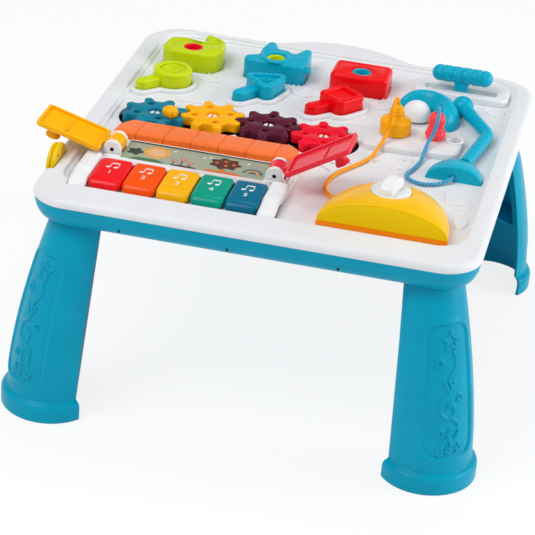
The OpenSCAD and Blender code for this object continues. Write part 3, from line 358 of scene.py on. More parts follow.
# A node tree and the one way to add a node to it: settings first, then values or links of its sockets
class Tree:
    def __init__(self, owner):
        owner.use_nodes = True
        self.tree = owner.node_tree

    def node(self, kind, settings=None, sockets=None):
        made = self.tree.nodes.new(kind)
        for k, v in (settings or {}).items():
            setattr(made, k, v)
        for k, v in (sockets or {}).items():
            self.feed(made.inputs[k], v)
        return made

    def feed(self, socket, v):
        if isinstance(v, Value):
            self.tree.links.new(v.socket, socket)
        elif isinstance(v, bpy.types.NodeSocket):
            self.tree.links.new(v, socket)
        else:
            socket.default_value = v

    # The tree's surface: the lit one, mixed by a share with the seen one for rays of camera, gloss and clear things
    def output(self, name, lit, seen, share):
        rays = self.node("ShaderNodeLightPath").outputs
        camera, gloss, clear = (Value(self, rays[f"Is {k} Ray"]) for k in ("Camera", "Glossy", "Transmission"))
        part = camera.math("MAXIMUM", gloss).math("MAXIMUM", clear)*share
        mix = self.node("ShaderNodeMixShader", {}, {0: part, 1: lit.outputs[0], 2: seen.outputs[0]})
        self.feed(self.tree.nodes[name].inputs["Surface"], mix.outputs[0])


# A material: its tree, its shader and Object coordinates
class Finish(Tree):
    def __init__(self, name):
        self.mat = bpy.data.materials.new(name)
        super().__init__(self.mat)
        self.shader = self.tree.nodes["Principled BSDF"]
        self.where = self.node("ShaderNodeTexCoord").outputs["Object"]

    def noise(self, scale, detail, rough):
        made = self.node("ShaderNodeTexNoise", {}, {"Vector": self.where, "Scale": scale, "Detail": detail,
                                                    "Roughness": rough})
        return Value(self, made.outputs["Fac"])

    def mix(self, fac, a, b):
        return self.node("ShaderNodeMix", {"data_type": "RGBA"}, {0: fac, 6: a, 7: b}).outputs[2]

    def bump(self, height, distance, strength=1.0, onto=None):
        sockets = {"Height": height, "Distance": distance, "Strength": strength}
        if onto is not None:
            sockets["Normal"] = onto
        return self.node("ShaderNodeBump", {}, sockets).outputs["Normal"]

    def put(self, values):
        for k, v in values.items():
            self.feed(self.shader.inputs[k], v)
        return self.mat


# A hex colour as linear light, times a gain
def linear(hexed, gain=1.0):
    c = np.array([int(hexed[i:i + 2], 16)/255 for i in (1, 3, 5)])
    c = np.where(c <= 0.04045, c/12.92, ((c + 0.055)/1.055)**2.4)*gain
    return (*np.clip(c, 0, 1), 1.0)


# Moulded plastic: faint flow marks in the colour, uneven gloss, a slow ripple and a fine grain
def plastic(name, hexed, rough, ripple=0.00003, shift=0.04, shine=0.2):
    f = Finish(name)
    flow, cloud, fine = f.noise(26, 3, 0.55), f.noise(140, 3, 0.6), f.noise(1800, 2, 0.6)
    normal = f.bump(f.noise(75, 1, 0.4), ripple)
    return f.put({"Base Color": f.mix(flow.step(0.3, 0.7), linear(hexed, 1 - shift), linear(hexed, 1 + shift)),
                  "Roughness": rough + (cloud - 0.5)*0.12 + (fine - 0.5)*0.05,
                  "Normal": f.bump(fine, 0.00001, 0.8, normal), "Specular IOR Level": shine})


# Printed card: fibres in the colour, fine dots in the gloss and the relief
def printed(name, hexed):
    f = Finish(name)
    paper, dots = f.noise(900, 3, 0.6), f.noise(3200, 1, 0.5)
    return f.put({"Base Color": f.mix(paper, linear(hexed, 0.93), linear(hexed, 1.05)),
                  "Roughness": 0.46 + (dots - 0.5)*0.1, "Normal": f.bump(dots, 0.00001)})


# Drawn steel: fine marks in the colour, the gloss and the relief
def steel(name, hexed, rough):
    f = Finish(name)
    marks = f.noise(900, 2, 0.6)
    return f.put({"Base Color": f.mix(marks, linear(hexed, 0.85), linear(hexed)), "Metallic": 1.0,
                  "Roughness": rough + (marks - 0.5)*0.15, "Normal": f.bump(marks, 0.00001)})


# Moulded finishes: colour, roughness, and where they differ the ripple's depth, the colour's shift and the shine
moulded = {
    "deckWhite": ("#E4E6E9", 0.34, {"ripple": 0.00005, "shift": 0.02, "shine": 0.3}),
    "partWhite": ("#EAECEE", 0.26, {"shine": 0.3}),
    "tableBlue": ("#009CBC", 0.34, {"ripple": 0.00006, "shine": 0.12}),
    "cyan": ("#00AAC8", 0.28, {"shine": 0.18}),
    "lime": ("#C3D600", 0.28),
    "limeBright": ("#CBDC06", 0.3),
    "red": ("#F2060F", 0.22),
    "gearRed": ("#F21030", 0.22),
    "teal": ("#0A7F9B", 0.25),
    "amber": ("#FFB400", 0.25),
    "plum": ("#5C1A32", 0.2),
    "keyRed": ("#F31420", 0.24),
    "keyOrange": ("#F85200", 0.24),
    "keyYellow": ("#FBB400", 0.24),
    "keyTeal": ("#009B84", 0.24),
    "keyBlue": ("#006B8C", 0.24),
    "rose": ("#EE2C40", 0.28),
    "tileOrange": ("#F8742A", 0.36),
    "bandOrange": ("#FF8A00", 0.3),
    "domeYellow": ("#F3BE06", 0.24, {"shine": 0.14}),
    # the dome's front face: a lighter, yellower copy of the dome's yellow, painted light that sets the front apart from
    # the top
    "domeFrontPaintedLight": ("#F6CC00", 0.3, {"shine": 0.12}),
    "wheelYellow": ("#EBC400", 0.32),
    "plugAmber": ("#FFB400", 0.3),
    "plugRose": ("#FF4A55", 0.28),
    # dark is the speaker's own colour, and painted shade on the gear tray and in the tray's small dark dots
    "dark": ("#17181A", 0.5),
    "leafGreen": ("#1E6B3C", 0.5),
    "cellWrap": ("#3A4048", 0.4),
    "rubber": ("#4A4E55", 0.6),
}
# Printed colours
inked = {
    "printWhite": "#F4F0EA", "inkBrown": "#5A3A32", "inkGreen": "#4F7A52", "inkDeep": "#2F4A44",
    "inkSun": "#EBA63F", "inkOrange": "#D9773A", "inkPink": "#D9707F", "inkSand": "#E3B48C",
    "inkBlue": "#3E6F96", "panelGround": "#9FAC96",
}
paint = {k: plastic(k, *v[:2], **(v[2] if len(v) > 2 else {})) for k, v in moulded.items()}
paint.update({k: printed(k, v) for k, v in inked.items()})
paint["steel"] = steel("steel", "#B8BCC2", 0.28)
print("finishes made:", len(paint))


# The cords: diameter and lay in mm, sides of the tube, the second colour's share of each half turn, and the routes
cords = {
    "diameter": 4.0, "strands": 3, "lay": 5.5, "sides": 18, "share": 0.34,
    "orange": [(68, -125, 224.6), (60, -121, 224.6), (53, -114, 224.5), (48.5, -105, 224.4), (47, -94, 224.4),
               (47.5, -82, 224.4), (50, -70, 224.4), (55, -58, 224.4), (62, -46, 224.4), (70, -32, 224.4),
               (75, -20, 224.4), (78, -10, 225), (81.5, 3, 229.6), (84, 12, 234), (86, 18.5, 240),
               (87, 21.5, 250), (88, 26, 262), (89, 33, 268), (89.7, 38.5, 267.5), (90, 42, 264),
               (90, 42.5, 260.8)],
    "blue": [(162, -34.2, 227), (161.4, -40, 226.8), (157.5, -45.5, 225.8), (151, -50.5, 224.4),
             (143, -55.5, 224.4), (134, -57, 224.4), (125, -54, 224.4), (118.5, -48, 224.4),
             (117.5, -40, 224.4), (120, -31, 224.4), (123, -20, 224.4), (125.5, -6, 225), (126.2, 4, 229.2),
             (127, 12.5, 232.6), (128, 20, 235), (130, 24.5, 239), (132.5, 26, 248), (134, 28, 259),
             (133, 34, 265), (131.8, 39.5, 264.8), (131.2, 42.8, 262), (131, 43.5, 258.8)],
}


# A twisted cord: three strands make three lobes in the section, which turns once every lay of length
def twistedCord(name, route, mats, slot, plug):
    path, n = smoothPath(route, 20), cords["sides"]
    lobes, lay, r = cords["strands"], cords["lay"], cords["diameter"]/2
    section = lambda a, s: r*(0.93 + 0.07*np.cos(lobes*(a - 2*math.pi*s/lay)))
    obj = makePiece(name, tube(path, section, n), mats, replaces="cord_" + slot.split("_")[1], sharp=80)
    step = np.linalg.norm(np.diff(path, axis=0), axis=1)
    if isinstance(mats, list):  # the faces whose angle follows the lay take the second finish
        s = np.concatenate([[0], np.cumsum(step)])[:-1]
        a = (np.arange(n) + 0.5)*2*math.pi/n
        phase = (2*(a[None, :] - 2*math.pi*s[:, None]/lay)/(2*math.pi)) % 1
        index = np.zeros(len(obj.data.polygons), int)
        index[:phase.size] = (phase < cords["share"]).ravel()
        obj.data.polygons.foreach_set("material_index", index)
    length = float(step.sum())*0.001
    return length


# Places of the two plugs and the empty socket, the height that their profiles count from, steps round them and the
# socket's radius; then their profiles (radius, height)
plugs = {"bell": (90, 42.5), "bulb": (131, 43.5), "empty": (151.5, 44.5), "z": 229, "steps": 72, "socket": 6.3}
bell = [(0, -4.7), (6, -4.7), (6, 0.3), (14.6, 0.3), (15.6, 0.8), (16, 1.8), (15.6, 2.6), (15.7, 3.2), (16, 4),
        (16, 10), *map(tuple, arc((12.6, 12), 3.6, 0, 60, 6)), (12.4, 16), (10.5, 17), (9.0, 18.4), (8.2, 20),
        (7.7, 21), (7.6, 21.5), (7.9, 22), (8, 22.5), (7.6, 23.3), (7, 24), (7.1, 24.6), (7.2, 25), (6.7, 25.9),
        (6, 26.6), (6.1, 27.1), (6.2, 27.4), (5.5, 28.6), (4.4, 29.6), (2.4, 31), (0, 31.2)]
bulbPlug = np.vstack([[(0, -4.7), (6, -4.7), (6, 0.3), (8.6, 0.3)], arc((5.4, 5.6), 5.2, -60, 50, 10),
                      arc((11.5, 13.6), 3.4, 218, 150, 6), arc((0, 20.5), 8.8, -10, 88, 16), [(0, 29.2)]])
for key, prof, finish, node, slot in (("bell", bell, "plugAmber", "plug_orange", "yellow"),
                                      ("bulb", bulbPlug, "plugRose", "plug_red", "rose")):
    makePiece(key + "_plug_body", turned(prof, plugs[key], plugs["z"], plugs["steps"]), paint[finish], key + "_plug",
              node, sharp=35)

rope = {k: plastic(k, c, 0.45) for k, c in (("cordOrange", "#FFA000"), ("cordBlue", "#1B86B8"),
                                            ("cordPale", "#74BEDD"))}
for tint, mats, key in (("Orange", rope["cordOrange"], "bell"), ("Blue", [rope["cordBlue"], rope["cordPale"]], "bulb")):
    length = twistedCord(f"cord{tint}Piece", cords[tint.lower()], mats, "cord_" + tint.lower(), key + "_plug_body")
    print(f"{tint.lower()} cord: {length:.3f} m")


# The deck and the tray: plan radii, heights of the rim, the floor, its underside, the joint line and the tray, front
# and back, the rim's width at the sides, front and back, the tray's wall and how far its side draws in
table = {"w": 430, "frontR": 38, "backR": 45, "archH": 25.8, "archR": 115, "blend": 40, "top": 228.5, "floor": 222,
         "under": 218, "part": 220.5, "tray": 198, "frontY": -229.5, "backY": 231.5, "rim": 20, "frontRim": 41,
         "backRim": 10, "shell": 2.5, "trayEdge": 14}
top, floor, under, part, tray = (table[k] for k in ("top", "floor", "under", "part", "tray"))


# The deck's outline, d inside its edge: round front corners, round shoulders and a bowed back edge
def deckOutline(d):
    k = 4  # an arc has 3, 7 or 10 times k steps
    hw, fy, by = table["w"]/2, table["frontY"], table["backY"]
    fr, br, ab, ar = table["frontR"], table["backR"], table["blend"], table["archR"]
    cy, bcy = by + table["archH"] - ar, by + ab
    bx = math.sqrt((ar + ab)**2 - (bcy - cy)**2)
    ba = math.degrees(math.atan2(bcy - cy, bx))
    return np.concatenate([
        arc((hw - fr, fy + fr), fr - d, -90, 0, 7*k), arc((hw - br, by - br), br - d, 0, 90, 7*k),
        arc((bx, bcy), ab + d, -90, ba - 180, 3*k), arc((0, cy), ar - d, ba, 180 - ba, 10*k),
        arc((-bx, bcy), ab + d, -ba, -90, 3*k), arc((-hw + br, by - br), br - d, 90, 180, 7*k),
        arc((-hw + fr, fy + fr), fr - d, 180, 270, 7*k)])


# A rectangle between x0, y0 and x1, y1 with corner radius front and back
def oblong(x0, x1, y0, y1, front, back=None, n=6):
    back = front if back is None else back
    return rounded([(x0, y0, front), (x1, y0, front), (x1, y1, back), (x0, y1, back)], n)


# The edge of the deck's sunk floor, d inside it
def floorOutline(d):
    x = table["w"]/2 - table["rim"] - d
    return oblong(-x, x, table["frontY"] + table["frontRim"] + d, table["backY"] - table["backRim"] - d, 30, 34, 16)


# The four gears: the second one's centre, the step between centres with its directions, diameters and heights, the
# pit round each, and the turn of each wheel
gears = {"second": (-93.5, 13.1), "pitch": 58.5, "row": (193.9, 0, -5.4), "tip": 67, "root": 48.6, "teeth": 8,
         "z0": 220, "z1": 230, "pit": 73, "phase": (27.8, 22.5, 0, 11.7)}
hop = [polar(gears["pitch"], a) for a in gears["row"]]
second = np.array(gears["second"])
gearAt = [second + hop[0], second, second + hop[1], second + hop[1] + hop[2]]


# Outline of overlapping circles of one radius in a row: along one side, round the end and back. Two of them cross at
# acos(distance/2r) either side of the line between their centres
def chainOutline(centres, r, n=30):
    out = []
    angle = lambda q: math.degrees(math.atan2(q[1], q[0]))
    half = lambda q: math.degrees(math.acos(np.linalg.norm(q)/2/r))
    for side in (-1, 1):
        for i, c in list(enumerate(centres))[::-side]:
            before, after = (centres[k] - c if 0 <= k < len(centres) else None for k in (i + side, i - side))
            a0 = angle(after) + 180 if before is None else angle(before) + half(before)
            a1 = angle(before) + 180 if after is None else angle(after) - half(after)
            out.append(arc(c, r, a0, a0 + (a1 - a0) % 360, n)[1 if before is None else 0:])
    return np.concatenate(out)


pitOutline = chainOutline(gearAt[::-1], gears["pit"]/2)

# The three blocks: place, centre of the ring, top edge radius and plan corners (x, y, radius)
blocks = {
    "leaf": {"at": (-149, 145), "core": (-149, 145), "r": 4.0, "plan": [
        (-33, -4, 14), (-24, -16, 14), (24, -16, 14), (33, 2, 12), (29, 30, 11), (6, 45, 4.6), (5, 31, 4.6),
        (12, 24, 3), (3, 18, 4), (-10, 25, 12), (-30, 22, 12)]},
    "ears": {"at": (-59, 148), "core": (-59, 149.5), "r": 3.2, "plan": [
        (-33, -12, 7), (33, -12, 7), (34, 8, 4), (31.5, 39, 4), (24, 39, 4), (15, 20, 2.5), (8, 28, 6),
        (-3, 29, 3.4), (-9, 45, 4), (-17, 45.5, 4), (-21, 26, 4), (-20, 8, 4), (-33, 0, 5)]},
    "brick": {"at": (33, 152), "core": (34, 149), "r": 5.0, "plan": [
        (-31, -18, 7), (31, -18, 7), (31, 24, 7), (-31, 24, 7)]},
}
# The three tools: place, direction of the grip and the head's outline; below, the grip's lengths and heights
tools = {
    "round": {"at": (-156, 88), "turn": 228, "head": circle((0, 0), 20.5, 72)},
    "triangle": {"at": (-58, 100), "turn": 234, "head": rounded([(*polar(30, a), 7.5) for a in (-76, 44, 164)], 14)},
    "square": {"at": (24, 92), "turn": 226, "head": rounded([(*polar(25.5, a), 7) for a in (8, 98, 188, 278)], 12)},
}
grip = {"len": 44, "w": 14, "h": 13, "head": 19, "z0": 221.5}


# A block's plan in its place
def blockPlan(b):
    return placed(rounded(b["plan"], 10), b["at"])


# Distance from the origin to the edge of a convex outline round it, in each direction
def reach(outline, a):
    e = np.roll(outline, -1, 0) - outline
    n = np.stack([e[:, 1], -e[:, 0]], 1)/np.linalg.norm(e, axis=1, keepdims=True)
    d = (n*outline).sum(1)
    dot = np.cos(a)[:, None]*n[:, 0] + np.sin(a)[:, None]*n[:, 1]
    return np.where(dot > 1e-6, d/np.maximum(dot, 1e-6), 1e9).min(1)


# The whole tool seen from above, d wider all round: head and grip, whichever reaches further
def toolPlan(t, d, n=300):
    a = np.arange(n)*2*math.pi/n
    w, far = grip["w"]/2 + d, grip["len"] + d
    handle = placed(rounded([(-4, -w, 1), (far - 6, -w, 3), (far, -w + 5, 3), (far, w - 5, 3), (far - 6, w, 3),
                             (-4, w, 1)], 4), (0, 0), t["turn"])
    r1, r2 = reach(inset(t["head"], -d), a), reach(handle, a)
    r = np.maximum(r1, r2)
    return t["at"] + r[:, None]*np.stack([np.cos(a), np.sin(a)], 1)


# A raised bar along points on height z: w wide, h high, its section an ellipse that shrinks at both ends
def ridge(points, w, h, z, n=8, m=14):
    path = smoothPath(np.asarray(points, float), n)
    path = atZ(path, z) if path.shape[1] == 2 else path
    taper = np.sqrt(np.clip(1 - np.abs(np.linspace(-1, 1, len(path)))**8, 0, 1))
    taper[[0, -1]] = 0.02
    step = np.gradient(path, axis=0)
    t = step/np.linalg.norm(step, axis=1, keepdims=True)
    s = np.stack([t[:, 1], -t[:, 0], np.zeros(len(t))], 1)
    a = np.radians(np.arange(m)*360/m)[None, :, None]
    across = w/2*np.cos(a)*s[:, None] + h*np.sin(a)*np.array([0, 0, 1.0])
    return closedNet(path[:, None] + taper[:, None, None]*across)


# A round dot of radius r and height h: a quarter ellipse turned about its axis
def bead(p, r, h, z, n=24):
    t = np.radians(np.linspace(0, 90, 7))
    return [lathe(np.vstack([[0, -0.4], [r, -0.4], np.column_stack([r*np.cos(t), h*np.sin(t)])]), p, z, n)]


craters = [(81, -18), (110, -5), (108, -27)]
button = {"at": (103, 98), "hole": 4.6, "z": 2.8}  # the lamp's bulb


# The deck: outer edge with its round rim, the wall of the sunk floor with a round foot and lip, the floor with what
# is let into it, and the underside
def makeDeck():
    f, outer, foot = floor, deckOutline(0), 2.2
    slits = [np.vstack([arc((27 + 8*i, -67 + 12*i), 20, 30, 80, 12), arc((27 + 8*i, -67 + 12*i), 17.4, 80, 30, 12)])
             for i in range(3)]
    holes = [(p, None, 0.6) for p in [pitOutline, circle(button["at"], button["hole"], 32)] + slits]
    holes += [(inset(blockPlan(b), -0.5), f - 1, 0.6) for b in blocks.values()]
    holes += [(toolPlan(t, 0.5), f - 1, 0.3) for t in tools.values()]
    holes += [(circle(p, 3.4, 40), f - 2.6, 1.6) for p in craters]
    walls, mouths, ends = wellParts(holes, under, f)
    a = np.radians(np.linspace(0, 90, 6))
    wall = [(3 + foot*(1 - math.sin(q)), f + foot*(1 - math.cos(q))) for q in a] + quarter(top, 2.4, 6, -1)
    return [stack(outer, [(0.4, part), (0, part + 0.8)] + quarter(top, 6.5, 10)),
            grid(np.stack([atZ(floorOutline(d), z) for d, z in wall]), closed=True),
            flatCap([inset(outer, 6.5), floorOutline(-2.4)], top), *walls,
            flatCap([floorOutline(3 + foot)] + mouths, f), flatCap([inset(outer, 9.5)] + ends, under),
            stack(outer, [(0.4, part), (9.5, part), (9.5, under)])]


# The raised collars round the three tools
def lips():
    parts = []
    for t in tools.values():
        parts += ringSolid(toolPlan(t, 6), toolPlan(t, 0.5), floor - 0.3, floor + 4, 1.8)
    return parts


# A closed band between an outer and an inner outline, both top edges rounded by r
def ringSolid(outer, inner, z0, z1, r):
    loops = [stack(outer, [(0, z0)] + quarter(z1, r)), stack(inner, quarter(z1, r*0.6, 4, -1)[::-1] + [(0, z0)])]
    return loops + [flatCap([inset(outer, r), inset(inner, -r*0.6)], z1), flatCap([outer, inner], z0)]


# The slider: its middle in plan and height, radius, half length and step between grooves
slider = {"at": (137.5, 176), "z": 246, "r": 8.75, "half": 32.5, "groove": 10.4}


# The raised fields with the plugs' sockets and the slider's track
def plateaus():
    f, r, empty = floor, plugs["socket"], plugs["empty"]
    plan = rounded([(60, 5, 12), (160, 10, 12), (160, 66, 16), (60, 66, 16)], 12)
    sockets = [(circle(plugs[k], r, 48), f + 2, 0.6) for k in ("bell", "bulb", "empty")]
    parts = planSolid(plan, f - 0.2, f + 7, 3.2, sockets, n=8)
    parts += ringSolid(circle(empty, 10, 48), circle(empty, r, 48), f + 6.8, f + 8.2, 0.8)
    x, y = slider["at"]
    track = oblong(x - 38.5, x + 38.5, y - 6, y + 6, 4, n=8)
    plan = oblong(x - 51, x + 51, y - 15, y + 26, 10, 16, 12)
    return parts + planSolid(plan, f - 0.2, f + 8, 3.2, [(track, f + 2, 1)], n=8)


# The relief: curves that carry a fan of dots, bars (points, width, height), dots (place, radius, height) and a crater's
# ring as a profile
pattern = {
    "fans": [[(-143, 125), (-130, 114), (-119, 110), (-108, 113)],
             [(-41, 133), (-33, 121), (-25, 110), (-16, 110), (-11, 116)],
             [(42, 129), (51, 116), (61, 109), (71, 113)]],
    "bars": [([(-140, 50), (-124, 51.5), (-108, 51)], 5, 2.4), ([(38, 56), (46, 61), (58, 60)], 4.5, 2.2),
             ([(161, -63), (163, -76), (165, -88)], 3.6, 2.2), ([(168, -90), (175, -87), (184, -76)], 3.6, 2.2),
             ([(177, -117), (180, -131), (184, -137), (188, -131), (191, -115)], 3.4, 2.2)],
    "dots": [((182, -105), 2.8, 2), ((168, 152), 2.6, 2), ((178, 139), 3, 2), ((188, 146), 2.6, 2),
             ((172, 144), 2.2, 2), ((184, 153), 2.2, 2), ((-197, -139), 3, 2), ((-192, -133), 3, 2),
             ((-189, -145), 3, 2)],
    "ring": [(8.4, -0.3), (8.0, 0.1), (7.2, 0.7), (6.2, 1.0), (5.2, 0.8), (4.7, 0.2), (4.6, -0.3), (8.4, -0.3)]}


# The low relief on the floor, and ticks on the right-hand rim, every fifth one longer
def relief():
    f, parts = floor, [lathe(pattern["ring"], p, floor, 40) for p in craters]
    for curve in pattern["fans"]:
        parts += ridge(curve, 5, 2.6, f)
        for i in range(22):
            across = np.array([-12 + 5.2*(i % 6) + 2*(i//6 % 2), 6.5 + 4*(i//6)])
            parts += bead(np.mean(curve, 0) + across, 1.2, 0.9, f, 12)
    for points, w, h in pattern["bars"]:
        parts += ridge(points, w, h, f)
    for p, r, h in pattern["dots"]:
        parts += bead(p, r, h, f)
    for i in range(34):
        y, w = -160 + 10*i, 7 if i % 5 else 11
        parts += ridge([(206 - w, y, top), (206 - w/2, y, top), (206, y, top)], 1.4, 0.45, top, 3, 8)
    return parts


# The side wheel: place, diameter, thickness and the width of its slot; the piano: middle, width between the cheeks,
# their width, front, height and back
wheel = {"at": (-211, -141), "d": 43, "t": 9, "slot": 11}
wx, wy = wheel["at"]
wheelSlot = (wx - wheel["slot"]/2, wx + wheel["slot"]/2, wy - wheel["d"]/2 - 3, wy + wheel["d"]/2 + 3)
piano = {"x": -84.3, "w": 167, "cheek": 17.5, "front": -191.5, "h": 10, "back": -81.1}
px0, px1 = piano["x"] - piano["w"]/2, piano["x"] + piano["w"]/2
housingPlan = oblong(px0 - piano["cheek"], px1 + piano["cheek"], piano["front"], piano["back"], 1.5, 6)
deckCuts = planSolid(inset(housingPlan, -0.2), floor - 0.02, top + 5, 0.1, low=0.02, n=1)
deckCuts += boxSolid((wheelSlot[0] - 5, wheelSlot[2], under - 1), (wheelSlot[1], wheelSlot[3], under + 27))
deckPiece = makePiece("deck", makeDeck(), paint["deckWhite"], replaces="deck_shell", sharp=42,
                      cuts=deckCuts)
makePiece("deck_relief", relief(), paint["deckWhite"], sharp=50)
makePiece("deck_lips", lips() + plateaus(), paint["deckWhite"], sharp=42)
print("deck:", len(deckPiece.data.polygons), "faces")


# The tray: a quarter-round side from its bottom to the joint line, and the same a wall's thickness inside
def makeTray():
    t, wall, edge = np.linspace(0, 1, 13)*math.pi/2, table["shell"], table["trayEdge"]
    rings = [(edge + 2.2, tray), (edge + 1.2, tray + 0.4)]
    rings += [(1 + edge*(1 - math.sin(q)), tray + (part - tray)*(1 - math.cos(q))) for q in t[1:]]
    rings += [(1.4, part), (1 + wall, part - 0.2)]
    rings += [(1 + wall + edge*(1 - math.sin(q)), tray + wall + 19.8*(1 - math.cos(q))) for q in t[::-1]]
    return closedNet(np.stack([atZ(deckOutline(d), z) for d, z in rings]))


trayCuts = boxSolid((wheelSlot[0] - 9, wheelSlot[2], tray - 1), (wheelSlot[1], wheelSlot[3], tray + 23.5))
trayCuts += boxSolid((39, -140, tray - 1), (101, -84, tray + 3.5))
for x in (-165, 165):
    for y in (-150, 60, 205):
        trayCuts += pin(3.4, -1, 2.3, (x, y), tray, 32)
makePiece("tray", makeTray(), paint["tableBlue"], replaces="skirt_tray", sharp=42, cuts=trayCuts)
makePiece("tray_well", boxSolid((wheelSlot[1], wheelSlot[2] - 2, tray + 2),
                                (wheelSlot[1] + 2, wheelSlot[3] + 2, under - 0.1), 0.3),
          paint["tableBlue"])
# small dark dots along the front of the tray: painted shade standing in for small holes
dot = [(0, -1.2), (0.7, -1), (1.1, -0.5), (1.2, 0), (1.1, 0.5), (0.7, 1), (0, 1.2)]
dots = [p for x in (-122, -18, 87) for p in turned(dot, (x, -225.6), tray + 7, 20)]
makePiece("tray_hole_shade_dots", dots, paint["dark"])

# A leg: widths at the top and above the foot, the foot's height, depth over width, lean of the top, wall, heights of
# the sunk panel, its depth, the height of its marks, and the foot's heights with its half widths
legs = {"topW": 59, "lowW": 84, "footH": 20, "bulge": 0.49, "lean": 33, "wall": 3,
        "panel": (36, 164), "depth": 1.82, "relief": 1.5,
        "foot": ([0, 0.6, 1.6, 13, 15, 16.8, 18.2, 19.2, 20, 21],
                 [47.0, 47.7, 48, 48, 47.8, 47.1, 45.9, 44.4, 42.8, 42])}
legAt = {"front_left": (-188.6, -210, -125.4), "front_right": (188.6, -210, -54.6),
         "back_left": (-188.6, 199, 125.4), "back_right": (188.6, 199, 54.6)}


# Distance from points (..., 2) to a polyline
def strokeDistance(q, line):
    a, b = np.asarray(line[:-1], float), np.asarray(line[1:], float)
    d = b - a
    t = np.clip(((q[..., None, :] - a)*d).sum(-1)/np.maximum((d*d).sum(-1), 1e-9), 0, 1)
    return np.linalg.norm(q[..., None, :] - a - t[..., None]*d, axis=-1).min(-1)


# A five-pointed star about c as a closed line
def starLine(c, r):
    return [tuple(np.asarray(c) + polar(r if i % 2 == 0 else r*0.45, 90 + 36*i)) for i in range(11)]


# Strokes (points, half width) of the raised marks on a leg, across and up in mm
legMarks = [
    (starLine((3, 148), 9), 0.8), (circle((-9, 128), 3.4, 14).tolist() + [(-5.6, 128)], 0.7),
    (smoothPath([(5, 138), (8, 130), (5, 121), (0, 114), (2, 106)], 5), 0.9),
    ([(-6, 112), (6, 112), (0, 100), (-6, 112)], 0.9),
    (smoothPath([(0, 99), (-8, 92), (-9, 82), (-2, 76), (5, 80), (4, 88), (-1, 88)], 5), 1.0),
    (circle((11, 95), 2.6, 14).tolist() + [(13.6, 95)], 0.6),
    (smoothPath([(2, 76), (9, 70), (10, 62), (6, 56)], 5), 0.9),
    ([(0, 66), (10, 66), (10, 56), (0, 56), (0, 66)], 0.8),
    (circle((-9, 62), 2.6, 14).tolist() + [(-6.4, 62)], 0.6),
    ([(-7, 42), (-7, 53), (2, 55), (2, 44)], 0.9),
    (circle((-9.2, 42), 2.4, 12).tolist() + [(-6.8, 42)], 1.0),
    (circle((-0.2, 44), 2.4, 12).tolist() + [(2.2, 44)], 1.0),
    (starLine((11, 45), 4.5), 0.6),
]


# 0 below 0, 1 above 1, x*x*(3 - 2x) between
def smoothStep(x):
    x = np.clip(x, 0, 1)
    return x*x*(3 - 2*x)


# A leg's half width at each height: thick foot rim, a cove above it, then a curve up to the top
def legHalf(z):
    rise = np.clip((z - legs["footH"])/(tray - legs["footH"]), 0, None)**1.6
    shaft = (legs["lowW"] + (legs["topW"] - legs["lowW"])*rise)/2
    return np.where(z < 21, np.interp(z, *legs["foot"]), shaft), -legs["lean"]*rise


# A leg's outer and inner skin: half ellipses at each height, the outer one pushed out along its normal by
# bead + marks - panel, each a smooth step of the distance to its line
def makeLeg():
    n, wall, mid, r = 200, legs["wall"], sum(legs["panel"])/2, 13
    heights = np.concatenate([np.linspace(0, 2, 5), np.linspace(4, 12, 3), np.linspace(13, 21.5, 18),
                              np.linspace(22.5, 34, 8), np.linspace(34.6, 166, 190), np.linspace(168, tray, 20)])
    t = np.radians(np.linspace(-90, 90, n + 1))
    half, x = legHalf(heights)
    a, b, x = half[:, None], half[:, None]*2*legs["bulge"], x[:, None]
    side = a*np.sin(t)
    level = np.broadcast_to(heights[:, None], side.shape)
    # distance to the sunk panel, a rounded frame across and up
    qx, qy = np.abs(side) - (0.64*a - r), np.abs(level - mid) - (legs["panel"][1] - mid - r)
    dist = np.hypot(np.maximum(qx, 0), np.maximum(qy, 0)) + np.minimum(np.maximum(qx, qy), 0) - r
    sunk = smoothStep(-dist/1.7)
    marks = np.zeros(dist.shape)
    for line, width in legMarks:
        marks = np.maximum(marks, smoothStep((width + 0.9 - strokeDistance(np.stack([side, level], -1), line))/0.9))
    out = -legs["depth"]*sunk + legs["relief"]*marks*sunk + 0.8*np.exp(-((dist - 1.3)/1.2)**2)
    nx, ny = np.cos(t)/b, np.sin(t)/a
    out = out/np.hypot(nx, ny)
    skin = np.stack([x + b*np.cos(t) + out*nx, side + out*ny, level], -1)
    inner = np.stack([x + (b - wall)*np.cos(t), (a - wall)*np.sin(t), level], -1)[:, ::-1]
    inner = np.concatenate([inner[::6], inner[-1:]])
    inner[0, :, 2] = 0
    return skin, inner


# A leg with its two skins, the edges between them and three shelves inside
def legParts():
    skin, inner = makeLeg()
    parts = [grid(skin), grid(inner)]
    for a, b in ((skin[0], inner[0][::-1]), (skin[-1], inner[-1][::-1]), (skin[:, 0], inner[:, -1]),
                 (skin[:, -1], inner[:, 0])):
        parts.append(cap(np.vstack([a, b[::-1]])))
    t = np.radians(np.linspace(-90, 90, 33))
    for z0, z1, less in [(195, 198, 0.2), (79.2, 81.6, 2.6), (142.6, 145, 2.6)]:
        half, x = legHalf(np.array([z0]))
        h = half[0] - less
        plan = np.column_stack([x[0] + (h*2*legs["bulge"])*np.cos(t), h*np.sin(t)])
        parts += planSolid(plan, z0, z1, 0.4, low=0.3, n=2)
    return parts


legShape = legParts()
for name, (x, y, turn) in legAt.items():
    makePiece("leg_" + name + "_shell", moved(legShape, turn, (x, y, 0)), paint["tableBlue"],
              replaces="leg_" + name, sharp=42)
print("legs made")


# A gear from above: eight teeth, each from the root circle to the tip circle and back, with rounded corners
def gearOutline():
    step, tip, root = 360/gears["teeth"], gears["tip"]/2, gears["root"]/2
    return rounded([(*polar(r, step*(i + off)), 4) for i in range(gears["teeth"])
                    for r, off in ((root, -0.3), (tip, -0.15), (tip, 0.15), (root, 0.3))], 8)


